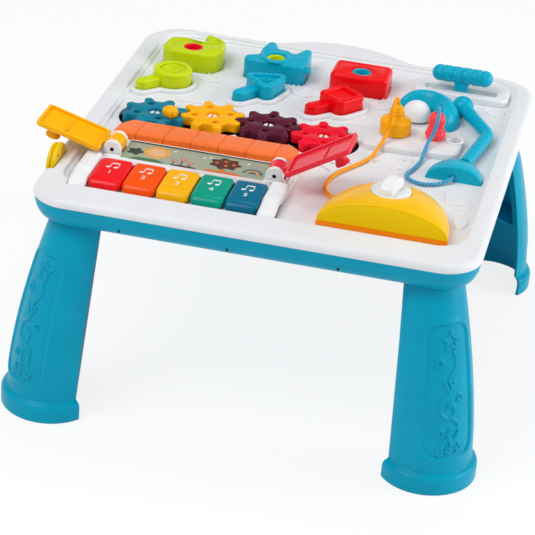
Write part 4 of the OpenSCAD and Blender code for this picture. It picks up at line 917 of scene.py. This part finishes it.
# A wheel with four blind holes and the peg's well
def makeGear(at, phase):
    z1 = gears["z1"]
    holes = [(circle(polar(18.5, 90*k), 3.75, 32), z1 - 5, 0.9) for k in range(4)]
    parts = planSolid(gearOutline(), gears["z0"], z1, 1.8, holes + [(circle((0, 0), 7.2, 48), z1 - 4, 0.8)])
    return moved(parts, phase, (*at, 0))


gearFinish = {"teal": "teal", "yellow": "amber", "purple": "plum", "red": "gearRed"}
for i, (tint, at, phase) in enumerate(zip(gearFinish, gearAt, gears["phase"])):
    makePiece("gear_" + tint + "_wheel", makeGear(at, phase), paint[gearFinish[tint]], body=f"gear_{i + 1}",
              replaces="gear_" + tint)


# The split pegs: half the gap and the profile (radius, height)
peg = {"gap": 0.8, "profile": [(0.01, 224), (4.9, 224), (4.9, 226.4), (4.7, 227.0), (4.0, 227.8), (2.8, 228.3),
                               (0.01, 228.6)]}


# One half of a peg: its profile turned through 160 degrees and kept clear of the gap
def halfPeg(at, side):
    prof, gap = np.array(peg["profile"]), peg["gap"]
    a = np.radians(np.linspace(-80, 80, 25) + (0 if side > 0 else 180))
    net = np.stack([at[0] + side*gap + prof[:, :1]*np.cos(a), at[1] + prof[:, :1]*np.sin(a),
                    np.repeat(prof[:, 1:], len(a), 1)], -1)
    net[:, :, 0] = np.where(side*(net[:, :, 0] - at[0]) < gap, at[0] + side*gap, net[:, :, 0])
    return [grid(net), cap(np.vstack([net[:, 0], net[::-1, -1]]))]


makePiece("gear_peg_tips", [p for at in gearAt for k in (1, -1) for p in halfPeg(at, k)],
          paint["partWhite"], replaces="gear_pegs")


# The crank's knob: place from its gear's centre (radius, direction), radius, waves round it, their depth, and its
# steps (height, inset)
crank = {"from": (20, -26), "r": 8.5, "waves": 8, "wave": 0.7, "steps": [
    (0, 3.6), (0.6, 2.4), (1.5, 1.6), (2.6, 0.8), (4, 0.2), (5.8, 0), (7.5, 0.3), (8.8, 1.0), (9.8, 2.2), (10.5, 3.6),
    (10.9, 5.2), (11, 8.2)]}


# Rings of radius r less the inset less wave(1 - cos(waves a)), the waves dying out as the inset grows
def makeCrank():
    at = gearAt[0] + polar(*crank["from"])
    a = np.radians(np.arange(0, 360, 3))
    rings = []
    for z, d in crank["steps"]:
        r = crank["r"] - d - crank["wave"]*(1 - np.cos(crank["waves"]*a))*(1 - d/9)
        rings.append(np.column_stack([at[0] + r*np.cos(a), at[1] + r*np.sin(a), np.full(len(a), gears["z1"] + z)]))
    return closedNet(np.stack(rings))


makePiece("crank_handle", makeCrank(), paint["keyYellow"], "gear_1", "crank_knob", sharp=70)
print("gears made")


# The outline of a band along points, its width given at each of them, with round ends
def strip(points, width):
    line = smoothPath(np.column_stack([points, width]), 6)
    path, w = line[:, :2], line[:, 2:]/2
    t = np.gradient(path, axis=0)
    t /= np.linalg.norm(t, axis=1, keepdims=True)
    n = np.stack([t[:, 1], -t[:, 0]], 1)
    a = np.radians(np.linspace(-80, 80, 9))
    ends = [path[k] + w[k]*(np.cos(a)[:, None]*s*t[k] + np.sin(a)[:, None]*s*-n[k]) for k, s in ((0, -1), (-1, 1))]
    return np.concatenate([path + w*n, ends[1], (path - w*n)[::-1], ends[0]])


# Heights of a block, radius of its bore and the ring's profile (radius, height)
blockSize = {"z0": 221.3, "z1": 244, "bore": 10.2, "ring": [
    (7.5, 221.4), (9.6, 221.4), (9.6, 229), (9.75, 229.2), (9.75, 243.2), (9.4, 243.7), (8.9, 243.9), (8.2, 243.8),
    (7.7, 243.4), (7.5, 242.8), (7.5, 221.4)]}
# Finish of the body and the ring, the node's colour word and the body it rides on
blockFinish = {"leaf": ("lime", "gearRed", "green", "leaf_block"),
               "ears": ("cyan", "limeBright", "blue", "ears_block"), "brick": ("red", "cyan", "red", "brick_block")}
for key, (body1, core, node, body) in blockFinish.items():
    b = blocks[key]
    z1 = blockSize["z1"]
    wells = [(circle(b["core"], blockSize["bore"], 56), None, 0.5)]
    if key == "leaf":  # a sunk crescent from the left of the ring, round behind it, to the hook
        wells.append((strip([(-21, -3), (-21.5, 7), (-15, 14.5), (-4, 16), (6, 13.5), (15, 13.5), (20.5, 20), (20, 29)],
                            [3, 5.5, 6, 5, 4.5, 6, 7, 3.5]) + b["at"], z1 - 1.4, 1.0))
    if key == "brick":  # a sunk border at the back of the top
        wells.append((strip([(-20, 15.5), (0, 16), (21, 15.5)], [2.2, 2.6, 2.2]) + b["at"], z1 - 1, 0.7))
    parts = planSolid(blockPlan(b), blockSize["z0"], z1, b["r"], wells, low=0.6, n=8)
    if key == "ears":  # a tab at its right side and a collar round the ring
        parts += reorder(drawn(np.array([(139.6, 235.5), (149.6, 235.5), (149.6, 239), (139.6, 239)]), -29, -20.4, 0.8),
                         [2, 0, 1])
        parts += ringSolid(circle(b["core"], 15.6, 56), circle(b["core"], 10.4, 56), z1 - 0.4, z1 + 2, 1.8)
    makePiece(f"block_{node}_body", parts, paint[body1], body, "block_" + node, sharp=50)
    makePiece(f"block_{node}_ring", [lathe(blockSize["ring"], b["core"], 0, 56)], paint[core], body,
              f"block_{node}_core", sharp=50)

# Finish, node and slot
toolFinish = {"round": ("limeBright", "tool_green", "lime"), "triangle": ("cyan", "tool_blue", "cyan"),
              "square": ("red", "tool_red", "red")}
for key, (finish, node, slot) in toolFinish.items():
    t = tools[key]
    top1 = floor + grip["head"]
    head = placed(t["head"], t["at"])
    if key == "round":
        wells = [(circle(t["at"], 14.2, 56), top1 - 2.6, 1.1)]
    else:
        wells = [(placed(inset(t["head"], 5.6), t["at"]), top1 - 3, 1.2)]
    parts = planSolid(head, grip["z0"] - 0.1, top1, 2.6, wells, low=0.6, n=7)
    if key == "round":  # the raised swirl in the sunk top
        s = np.linspace(0, 1, 40)
        swirl = np.array(t["at"]) + (11 - 8*s)[:, None]*np.stack([np.cos(7*s + 1), np.sin(7*s + 1)], 1)
        parts += ridge(swirl, 3.2, 2.2, top1 - 2.6, 1)
    if key == "triangle":  # a small collar in the sunk top
        parts += ringSolid(circle(t["at"], 4.6, 32), circle(t["at"], 2.6, 32), top1 - 3.1, top1 - 0.8, 0.7)
    w, far = grip["w"]/2, grip["len"]
    plan = placed(rounded([(3, -w, 2.6), (far - 6, -w, 3), (far, -w + 4, 2.6), (far, w - 4, 2.6), (far - 6, w, 3),
                           (3, w, 2.6)], 5), t["at"], t["turn"])
    parts += planSolid(plan, grip["z0"], floor + grip["h"], 2.0, low=0.6)
    makePiece(node + "_body", parts, paint[finish], key + "_tool", node, sharp=50)
print("lift-out shapes made")


# The keys: step between them, gap, middle and front, height, how far back the note and the number lie and their
# sizes, finishes and slots
keys = {"pitch": 33.4, "gap": 1.2, "x": -84.3, "front": -184.5, "top": 11, "note": (33, 0.95), "number": (22, 9.5),
        "finish": ("keyRed", "keyOrange", "keyYellow", "keyTeal", "keyBlue"),
        "slot": ("red", "key_orange", "yellow", "key_teal", "key_blue")}


# One key: sections across it, narrower and lower at the rounded front end, with a slightly crowned top
def keyBody(x0, w):
    y = 1 + np.concatenate([7*(1 - np.cos(np.radians(np.linspace(0, 90, 14)))), np.linspace(8, 51.4, 24), [51.8, 52]])
    high = np.where(y < 12.7, 2.4 + 0.9*np.sqrt(np.maximum(100 - (11 - y)**2, 0)),
                    np.interp(y, [12.7, 29, 53], [11.25, 11.4, 11.0]))
    low = np.minimum(np.interp(y, [1, 4], [2.4, 3]), high)
    half = w/2 - np.where(y < 8, 7 - np.sqrt(np.maximum(49 - (8 - y)**2, 0)), 0)*0.8
    r = np.minimum(3.2, (high - low)/2)
    back = np.clip((y - 52.2)/0.8, 0, 1)*0.6
    half, high = half - back, high - back
    t = np.radians(np.linspace(0, 90, 8))[None, :]
    side = (half - r)[:, None] + r[:, None]*np.cos(t)
    rise = (high - r)[:, None] + r[:, None]*np.sin(t)
    u = np.linspace(1, -1, 9)[None, 1:-1]*(half - r)[:, None]
    xs = np.concatenate([half[:, None], side, u, -side[:, ::-1], -half[:, None]], 1)
    zs = np.concatenate([low[:, None], rise, np.repeat(high[:, None], u.shape[1], 1), rise[:, ::-1], low[:, None]], 1)
    zs = zs - 0.45*(xs/(w/2))**2*(zs > low[:, None] + 1)
    return closedNet(np.stack([x0 + w/2 + xs, np.broadcast_to(keys["front"] + y[:, None], xs.shape), floor + zs], -1))


# Flat characters laid on a surface, as a piece of their own
def printMark(name, text, size, at, mat, body):
    curve = bpy.data.curves.new(name, "FONT")
    curve.body, curve.size, curve.align_x, curve.align_y = text, size*0.001, "CENTER", "CENTER"
    curve.extrude = 0.00015
    temp = addObject(name, curve)
    mesh = shownMesh(temp)
    bpy.data.objects.remove(temp)
    mesh.transform(Matrix.Translation(Vector(at)*0.001))
    mesh.materials.clear()
    mesh.materials.append(mat)
    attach(addObject(name, mesh), body)


# Two joined notes of size s, from at to the right: oval heads, stems and a bar, 0.14 above z
def noteMark(at, z, s):
    lay = lambda plan: planSolid(np.array(plan), z - 0.2, z + 0.14, 0.05, low=0.02, n=1)
    head = arc((0, 0), 1, 0, 360, 20)[:-1]*np.array([2.3, 1.7])*s
    y = at[1] + 10*s
    parts = []
    for x in (at[0], at[0] + 8*s):
        parts += lay(placed(head, (x, at[1]), 20))
        parts += lay([(x + 1.6*s, at[1]), (x + 2.3*s, at[1]), (x + 2.3*s, y), (x + 1.6*s, y)])
    x0, x1 = at[0] + 1.6*s, at[0] + 10.3*s
    return parts + lay([(x0, y - 1.6*s), (x1, y - 1.6*s), (x1, y + 0.4*s), (x0, y + 0.4*s)])


w, high = keys["pitch"] - keys["gap"], floor + keys["top"] + 0.3
for i in range(5):
    x0 = keys["x"] - 2.5*keys["pitch"] + i*keys["pitch"] + keys["gap"]/2
    (noteY, noteSize), (numberY, numberSize) = keys["note"], keys["number"]
    marks = noteMark((x0 + w/2 - 4.4, keys["front"] + noteY), high, noteSize)
    parts = keyBody(x0, w) + [(v, f, s, 1) for v, f, s, m in marks]
    makePiece(f"key_{i + 1}_cap", parts, [paint[keys["finish"][i]], paint["printWhite"]], f"piano_key_{i + 1}",
              f"key_{i + 1}")
    printMark(f"key_{i + 1}_number", str(i + 1), numberSize, (x0 + w/2, keys["front"] + numberY, high + 0.02),
              paint["printWhite"], f"piano_key_{i + 1}")
print("keys made")


# A cheek of the piano from its side: a low arc that falls to a round front
def cheekSide():
    h, front = piano["h"], piano["front"]
    return np.vstack([[(-126, 0), (-126, h + 2.5)], arc((front + 33, h - 22), 25, 78, 112, 10),
                      arc((front + 9, 0.5), 9, 100, 180, 12), [(front, 0)]])


# A hinge's ear: half a circle on a straight foot
def earSide(x):
    return np.vstack([arc((x, hinges["z"]), 9, 0, 180, 36), [(x - 9, floor + 2), (x + 9, floor + 2)]])


# The doors: hinge lines, near and far edge from them, front, width and thickness, the ears with their thickness, the
# barrel's diameter, the angle that each door lies at, and the knob's diameter and height
hinges = {"x": (-161.5, 0.3), "z": 236, "near": (10.5, 15), "far": (76.6, 84.6), "front": -131.5, "w": 44, "t": 5,
          "ears": (-119, -92), "earT": 4.7, "barrel": 18, "open": (16, 31.6), "knob": (15, 12)}
ear0, ear1 = hinges["ears"][0] + hinges["earT"], hinges["ears"][1] - hinges["earT"]


# The piano's body: a base with the keys' bed, the back with the picture's recess, two cheeks and four ears
def makeHousing():
    bed = oblong(px0 + 0.2, px1 - 0.2, -187.5, -130.5, 1, n=3)
    parts = planSolid(housingPlan, floor, floor + 3, 1, [(bed, None, 0.5)], low=0.1)
    back = oblong(px0 - 15.5, px1 + 15.5, -135.5, piano["back"], 5, 4)
    panel = oblong(-152.1, -9.9, -123.6, -81.3, 0.4, n=2)
    parts += planSolid(back, floor + 0.1, floor + piano["h"], 1.6, [(inset(panel, -0.2), 229.0, 0.3)], low=0.1)
    for x in (px0 - piano["cheek"], px1):
        parts += reorder(drawn(cheekSide() + np.array([0, floor]), x, x + piano["cheek"], 4.2, 8), [2, 0, 1])
    for x in hinges["x"]:
        for y in (hinges["ears"][0], ear1):
            parts += reorder(drawn(earSide(x), y, y + hinges["earT"], 1.1), [0, 2, 1])
    return parts


room = []  # what the barrels turn in
for x in hinges["x"]:
    room += reorder(pin(10.5, ear0, ear1, (x, hinges["z"]), 0, 48), [0, 2, 1])
makePiece("piano_body", makeHousing(), paint["partWhite"], replaces="piano_housing", sharp=42,
          cuts=room, crossed=True)


# A flat shape of the picture in ink mat, 0.05 higher for each level
def inlay(outline, level, mat):
    z = 230.52 + 0.05*level
    return planSolid(np.asarray(outline, float) + [-81, -102.5], 230.45, z, 0.02, low=0.01, n=1, mat=mat)


# A round crown: radius r + wave cos(n a)
def crown(c, r, wave, n):
    a = np.radians(np.arange(0, 360, 4))
    return np.asarray(c) + (r + wave*np.cos(n*a))[:, None]*np.stack([np.cos(a), np.sin(a)], 1)


# A garden in flat inks: hills, sun, bush, flowers, a tree with fruit, a small rainbow and dots
def picture():
    parts = []
    hill = lambda x, w, h: rounded([(x - w, -20.6, 1), (x + w, -20.6, 1), (x + w*0.5, -20.6 + h, w*0.4),
                                    (x - w*0.5, -20.6 + h, w*0.4)], 10)
    parts += inlay(hill(-46, 22, 9), 1, 2) + inlay(hill(30, 26, 8), 1, 5) + inlay(hill(-8, 17, 6), 1, 1)
    rays = np.array([polar(15.5 if k % 2 else 10.5, 15*k) for k in range(24)])
    parts += inlay(rays + [-40, 4], 2, 4) + inlay(circle((-40, 4), 8.6, 40), 3, 6)
    parts += inlay(crown((-61, 0), 7.2, 1.3, 5), 3, 3)
    for x, y, k in [(-20, -6, 7), (-12, -2, 7), (-4, -7, 7)]:
        parts += inlay(oblong(x - 0.6, x + 0.6, -17, y, 0.2, n=2), 2, 3)
        petals = [polar(4.4 if j % 2 else 2.4, 36*j + 18) for j in range(10)]
        parts += inlay(rounded([(*(q + (x, y)), 0.6) for q in petals], 4), 3, k)
        parts += inlay(circle((x, y), 1.4, 20), 4, 4)
    parts += inlay(rounded([(26, -14, 0.5), (31, -14, 0.5), (30, 0, 0.5), (27, 0, 0.5)], 2), 2, 5)
    parts += inlay(crown((28.5, 4), 11.5, 1.5, 7)*np.array([1.25, 1]) - np.array([7, 0]), 3, 1)
    for x, y in [(20, 4), (28, 9), (37, 4), (30, 0)]:
        parts += inlay(circle((x, y), 1.9, 20), 5, 5)
    for k, (r, m) in enumerate([(10, 8), (7, 4), (4, 8)]):
        parts += inlay(arc((58, -8), r, 0, 180, 24), 3 + k, m)
    for x, y in [(6, 10), (12, 13), (50, 12), (-24, 13)]:
        parts += inlay(circle((x, y), 1.3, 18), 3, 0)
    return parts


inks = ["printWhite", "inkBrown", "inkGreen", "inkDeep", "inkSun", "inkOrange", "inkSand", "inkPink", "inkBlue"]
makePiece("picture_print", picture(), [paint[k] for k in inks])


# Door k, lying flat with its hinge line on y: a leaf with a sunk inner face, a barrel with a web, a knob below, a grip
# rib on the inner face
def makeDoor(k):
    near, far, f, w, t = hinges["near"][k], hinges["far"][k], hinges["front"], hinges["w"], hinges["t"]
    leaf = rounded([(near, f, 3), (far, f, 4), (far, f + w, 4), (near, f + w, 3)], 8)
    parts = planSolid(leaf, -t/2, t/2, 0.9, [(oblong(near + 3, far - 3, f + 3, f + w - 3, 2), 0.2, 0.5)], low=0.9)
    y0, y1, r = ear0 + 0.3, ear1 - 0.3, hinges["barrel"]/2
    barrel = [(0, y0), (r - 0.6, y0), (r, y0 + 0.6), (r, y1 - 0.6), (r - 0.6, y1), (0, y1)]
    parts += reorder(turned(barrel, n=72), [0, 2, 1])
    parts += boxSolid((1, y0 + 0.2, -t/2), (near + 2, y1 - 0.2, t/2), 0.6)
    d, h = hinges["knob"]
    prof = [(0, 0), (d/2 - 1.6, 0), (d/2 - 0.4, 0.4), (d/2, 1.5), (d/2 - 0.7, 3), (d/2 - 1.9, h/2 + 1),
            (d/2 - 1.5, h - 2), (d/2 - 0.6, h + 0.6), (0, h + 0.8)]
    parts += turned(prof, (far - 17, f + 16), -t/2 - h, 48)
    rib = rounded([(far - 30, f + 8, 1), (far - 28.4, f + 8, 0.7), (far - 28.4, f + 36, 0.7),
                   (far - 30, f + 36, 0.7)], 4)
    return parts + planSolid(rib, 0.1, 1.5, 0.5)


for k, (side, body, finish) in enumerate((("left", "door_a", "amber"), ("right", "door_b", "rose"))):
    leaf = moved(makeDoor(k), mirror=k == 0, tilt=(1 - 2*k)*hinges["open"][k], at=(hinges["x"][k], 0, hinges["z"]))
    makePiece(f"door_{side}_leaf", leaf, paint[finish], body, "door_" + side)

# The tile row: ends, front, depth, height and the grooves between tiles
tiles = {"x": (-171, 12), "front": -80.8, "d": 42, "h": 17.5,
         "grooves": [-148.5 + 27.8*i for i in range(6)]}


# The tiles: one side view drawn out along x for each, with rounded ends
def makeTiles():
    f, d, h = tiles["front"], tiles["d"], tiles["h"]
    side = rounded([(f, 0.1, 1.2), (f + d, 0.1, 1.2), (f + d, h - 5.2, 2.4), (f, h, 3)], 7) + np.array([0, floor])
    ends = [tiles["x"][0] + 0.2] + tiles["grooves"] + [tiles["x"][1] - 0.2]
    return [p for a, b in zip(ends[:-1], ends[1:]) for p in reorder(drawn(side, a + 0.12, b - 0.12, 0.9), [2, 0, 1])]


# A corner of the tile row that is cut away, as plan points
corner = lambda pts: planSolid(np.array(pts, float), floor - 2, floor + 30, 0.1, low=0.05, n=1)
makePiece("tile_row", makeTiles(), paint["tileOrange"], replaces="tile_bar", sharp=42,
          cuts=corner([(-172, -62), (-160.5, -38.5), (-150, -37), (-150, -34), (-176, -34)])
          + corner([(14, -66), (14, -34), (-8, -34), (-8, -37.5), (-0.5, -39.5), (9.2, -52)]))
print("piano made")


# Half an ellipsoid cut flat at the front, the front edge rounded by r: sections are half ovals (a, c), b deep
def halfDome(at, a, b, c, r):
    back, edge = np.radians(np.linspace(89, 0, 48)), np.radians(np.linspace(15, 90, 6))
    size = np.concatenate([np.cos(back), np.ones(6)])
    less = np.concatenate([np.zeros(48), r*(1 - np.cos(edge))])
    y = np.concatenate([r + (b - r)*np.sin(back), r*(1 - np.sin(edge))])
    t = np.radians(np.linspace(0, 180, 73))
    xs, zs = (a*size - less)[:, None]*np.cos(t), (c*size - less)[:, None]*np.sin(t)
    net = np.stack([xs, np.broadcast_to(y[:, None], xs.shape), zs], -1) + np.asarray(at, float)
    return [grid(net, closed=True), cap(net[0]), cap(net[-1], 1)]


# The dome: middle of its front edge, half width, depth, height, front edge radius and height of the band below it; the
# dial: middle, height, turn and radius of its well
dome = {"at": (116.5, -177), "half": 62.5, "deep": 92, "high": 25, "edge": 2.2, "band": 5.4}
dial = {"at": (116.5, -138), "z": 250, "turn": -12, "well": 19.4}
oval = np.radians(np.linspace(0, 180, 61))
band = np.column_stack([dome["half"]*np.cos(oval), dome["deep"]*np.sin(oval)]) + dome["at"]
makePiece("orange_band", planSolid(band, floor, floor + dome["band"], 0.8), paint["bandOrange"], replaces="dome_base")
# The dome's flat front face takes the second finish, a lighter copy of the dome's yellow: painted light on one moulding
makePiece("yellow_dome", halfDome((*dome["at"], floor + dome["band"] + 0.1), dome["half"], dome["deep"], dome["high"],
                                  dome["edge"]),
          [paint["domeYellow"], paint["domeFrontPaintedLight"]], replaces="dome_shell",
          cuts=pin(dial["well"], 246.6, 260, dial["at"], 0, 72))


# The dial: a turned plate with a rounded bar across it
def makeDial():
    plate = [(0, -2.7), (18.6, -2.7), (19, -2.3), (19, 1.6), (18.4, 2.2), (17.7, 2.2), (17.2, 2.0), (14.2, 0.9),
             (13.4, 0.8), (0, 0.8)]
    side = np.vstack([[(-17, -1), (17, -1)], arc((5, 1), 12, 0, 75, 12), arc((-5, 1), 12, 105, 180, 12)])
    parts = turned(plate, n=96) + reorder(drawn(side, -7, 7, 2.2, 6), [2, 0, 1])
    return moved(parts, dial["turn"], (*dial["at"], dial["z"]))


makePiece("dial_face", makeDial(), paint["partWhite"], "dial_knob", "dial")

# The lamp: its foot, the arm's ends and bend, radii of arm, ball and collar, and the hood's
# middle, radius, first direction and sweep
lamp = {"foot": (163, -36.5), "from": (169, -8, 7.5), "bend": (182, 71, 7.5), "ball": (147, 122.5, 11.5), "arm": 6.5,
        "ballR": 11.5, "collar": 7.1, "hood": (107, 96.5), "hoodR": 28, "sweep": (-48, 198)}
cordHole = reorder(pin(2.7, -40, -33.4, (162, 227), 0, 32), [0, 2, 1])
makePiece("lamp_foot", halfDome((*lamp["foot"], floor), 28.5, 42, 16, 2.0), [paint["cyan"], paint["cyan"]],
          replaces="lamp_base", cuts=cordHole)


# The arm: two straight tubes joined by a bend (quadratic curve), a ball at the end and a collar in front of it
def makeArm():
    foot, elbow, ball = (np.array(lamp[k]) + [0, 0, floor] for k in ("from", "bend", "ball"))
    u, w = (foot - elbow)/np.linalg.norm(foot - elbow), (ball - elbow)/np.linalg.norm(ball - elbow)
    t = np.linspace(0, 1, 13)[:, None]
    bend = (elbow + 9*u)*(1 - t)**2 + 2*elbow*t*(1 - t) + (elbow + 9*w)*t**2
    path = np.vstack([np.linspace(foot, elbow + 9.5*u, 6), bend, np.linspace(elbow + 9.5*w, ball, 6)])
    a, r, upright = np.radians(np.linspace(0, 180, 33)), lamp["ballR"], (0, 0, 1.0)
    parts = tube(path, lamp["arm"], 40, upright)
    parts += turned(np.column_stack([r*np.sin(a), -r*np.cos(a)]), ball[:2], ball[2], 56)
    return parts + tube(np.linspace(ball - 17*w, ball - 20*w, 3), lamp["collar"], 40, upright)


makePiece("lamp_elbow", makeArm(), paint["cyan"], replaces="lamp_arm", sharp=60)


# The lamp's hood: a rounded section (the same as the solid's) swept round the bulb, thinner at the tips
def makeHood():
    side = smoothPath([(16.5, 0), (16.5, 9), (21, 19), (24.5, 23.2), (27, 24), (30, 23), (34.5, 19.5), (38.5, 14),
                       (41, 7), (42, 0)], 5)
    k = np.linspace(0, 1, 97)
    a = np.radians(lamp["sweep"][0] + lamp["sweep"][1]*k)
    s = np.maximum(0.1, np.sqrt(np.clip(1 - np.abs(2*k - 1)**4, 0, 1)))
    s = np.maximum(s, 0.28*np.minimum(1, 8*np.minimum(k, 1 - k) + 0.6))
    r = lamp["hoodR"] + (side[None, :, 0] - lamp["hoodR"])*s[:, None]
    x, y = lamp["hood"]
    return closedNet(np.stack([x + r*np.cos(a)[:, None], y + r*np.sin(a)[:, None],
                               floor + side[None, :, 1]*s[:, None]], -1))


makePiece("lamp_hood", makeHood(), paint["cyan"], replaces="lamp_shade", sharp=50)
bulb = np.vstack([[(0, 0), (14.6, 0), (15, 0.5)], arc((0, 3), 15, 4, 90, 20)])
bulbAt = (button["at"], floor + button["z"])
makePiece("lamp_button", turned(bulb, *bulbAt, 72) + pin(4, -6.8, 1, *bulbAt, 32), paint["partWhite"], "bulb_button",
          "lamp_bulb")
print("lamp and dome made")


# The slider's grip: a round bar with round ends and five grooves, on a stem and a foot
def makeSlider():
    r, half, (x, y) = slider["r"], slider["half"], slider["at"]
    low, high = arc((half - r, 0), r, 0, 90, 14), arc((half - r, 0), r, 90, 0, 14)
    u = slider["groove"]*np.arange(-2, 3)[:, None] + [-1.5, -0.8, -0.45, 0.45, 0.8, 1.5]
    rad = np.tile(r - np.array([0, 0.25, 0.8, 0.8, 0.25, 0]), 5)
    prof = np.vstack([low[:, ::-1]*[1, -1], np.column_stack([rad, u.ravel()]), high[:, ::-1]])
    parts = moved(reorder(turned(prof), [2, 0, 1]), at=(x, y, slider["z"]))
    parts += boxSolid((x - 7, y - 5.7, 224.3), (x + 7, y + 5.7, 243), 1.2)
    return parts + boxSolid((x - 6, y - 2.9, 217.7), (x + 6, y + 2.9, 226))


makePiece("slide_grip", makeSlider(), paint["cyan"], "slider", "slider_handle")


# The side wheel, lying: a stepped rim, six holes near the hub and a sunk middle, then stood up and put in its slot
def makeWheel():
    t = wheel["t"]
    steps = [(4, 0), (3, 0.15), (1.9, 0.4), (1.2, 1), (1, 1.8), (1, 3.2), (1.6, 3.9), (2.6, 4.5), (1.2, 4.9),
             (0.2, 5.4), (0, 6), (0, 7.6), (0.4, 8.4), (1.2, 8.9), (2.4, 9)]
    rim, hub = circle((0, 0), wheel["d"]/2, 120), circle((0, 0), 6, 48)
    holes = [circle(polar(13, 60*k), 2.5, 28) for k in range(6)]
    mouths = [inset(h, -0.5) for h in holes]
    parts = [stack(rim, steps)] + [stack(h, [(-0.5, 0), (0, 0.5), (0, t - 0.5), (-0.5, t)]) for h in holes]
    parts += [stack(hub, [(-0.8, t), (0, t - 0.7), (0, t - 1.6)]), flatCap([hub], t - 1.6),
              flatCap([inset(rim, 2.4), *mouths, inset(hub, -0.8)], t), flatCap([inset(rim, 4), *mouths], 0)]
    return moved(reorder(parts, [2, 0, 1]), at=(wx - t/2, wy, floor))


makePiece("left_wheel", makeWheel(), paint["wheelYellow"], "wheel", "side_wheel")
print("slider and wheel made")


# Nodes that stay as imported, with their finish
# The gear tray's near-black finish is painted shade for the deep pit round the gears
nodeFinish = {"leg_screws": "steel", "case_screws": "steel", "gear_tray": "dark", "key_axle": "steel",
              "key_pads": "rubber", "circuit_board": "leafGreen", "speaker": "dark", "picture_panel": "panelGround",
              "door_pins": "steel", "slider_retainer": "partWhite", "wheel_axle": "steel",
              "battery_cells": "cellWrap", "battery_door": "tableBlue"}
for node, finish in nodeFinish.items():
    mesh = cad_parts[node].data
    mesh.materials.clear()
    mesh.materials.append(paint[finish])
print("small nodes finished")


# Lamp powers in watts, world strength, how dim the seen sky gets overhead and the share of the floor's own white
studio = {"world": 0.44, "ceiling": 0.05, "floorGlow": 0.82, "lamps": {
    "key_lamp": {"place": (-1.0, -1.2, 2.2), "aim": (0, 0, 0.15), "size": (1.2, 1.2), "power": 30},
    "side_lamp": {"place": (2.2, 0.2, 0.9), "aim": (0, 0, 0.15), "size": (1.4, 1.2), "power": 30},
    "top_lamp": {"place": (0.2, 0.8, 2.7), "aim": (0, 0, 0.2), "size": (1.6, 0.8), "power": 11}}}
for name, v in studio["lamps"].items():
    data = bpy.data.lights.new(name, "AREA")
    data.shape, data.size, data.size_y, data.energy = "RECTANGLE", *v["size"], v["power"]
    shade = addObject(name, data)
    shade.matrix_world = (Vector(v["place"]) - Vector(v["aim"])).to_track_quat("Z", "Y").to_matrix().to_4x4()
    shade.location = v["place"]


# White world and floor. What is seen of the sky is white round the horizon and dimmer upwards
def makeStage():
    world, white = bpy.data.worlds.new("studio"), (1, 1, 1, 1)
    bpy.context.scene.world = world
    sky = Tree(world)
    lit = sky.tree.nodes["Background"]
    sky.feed(lit.inputs["Color"], white)
    sky.feed(lit.inputs["Strength"], studio["world"])
    where = sky.node("ShaderNodeTexCoord").outputs["Generated"]
    height = sky.node("ShaderNodeSeparateXYZ", {}, {0: where}).outputs["Z"]
    fade = sky.node("ShaderNodeMapRange", {}, {"Value": height, "From Min": 0.12, "From Max": 0.42, "To Min": 1.0,
                                               "To Max": studio["ceiling"]})
    seen = sky.node("ShaderNodeBackground", {}, {"Color": white, "Strength": fade.outputs["Result"]})
    sky.output("World Output", lit, seen, 1.0)
    mesh, s = bpy.data.meshes.new("studio_floor"), 30.0
    mesh.from_pydata([(-s, -s, 0), (s, -s, 0), (s, s, 0), (-s, s, 0)], [], [(0, 1, 2, 3)])
    f = Finish("studioFloor")
    mesh.materials.append(f.put({"Base Color": (0.97, 0.97, 0.98, 1), "Roughness": 0.6}))
    f.output("Material Output", f.shader, f.node("ShaderNodeEmission", {}, {"Strength": 1.0}), studio["floorGlow"])
    addObject("studio_floor", mesh)


makeStage()
bpy.context.scene.view_settings.view_transform = "Standard"

print("done")
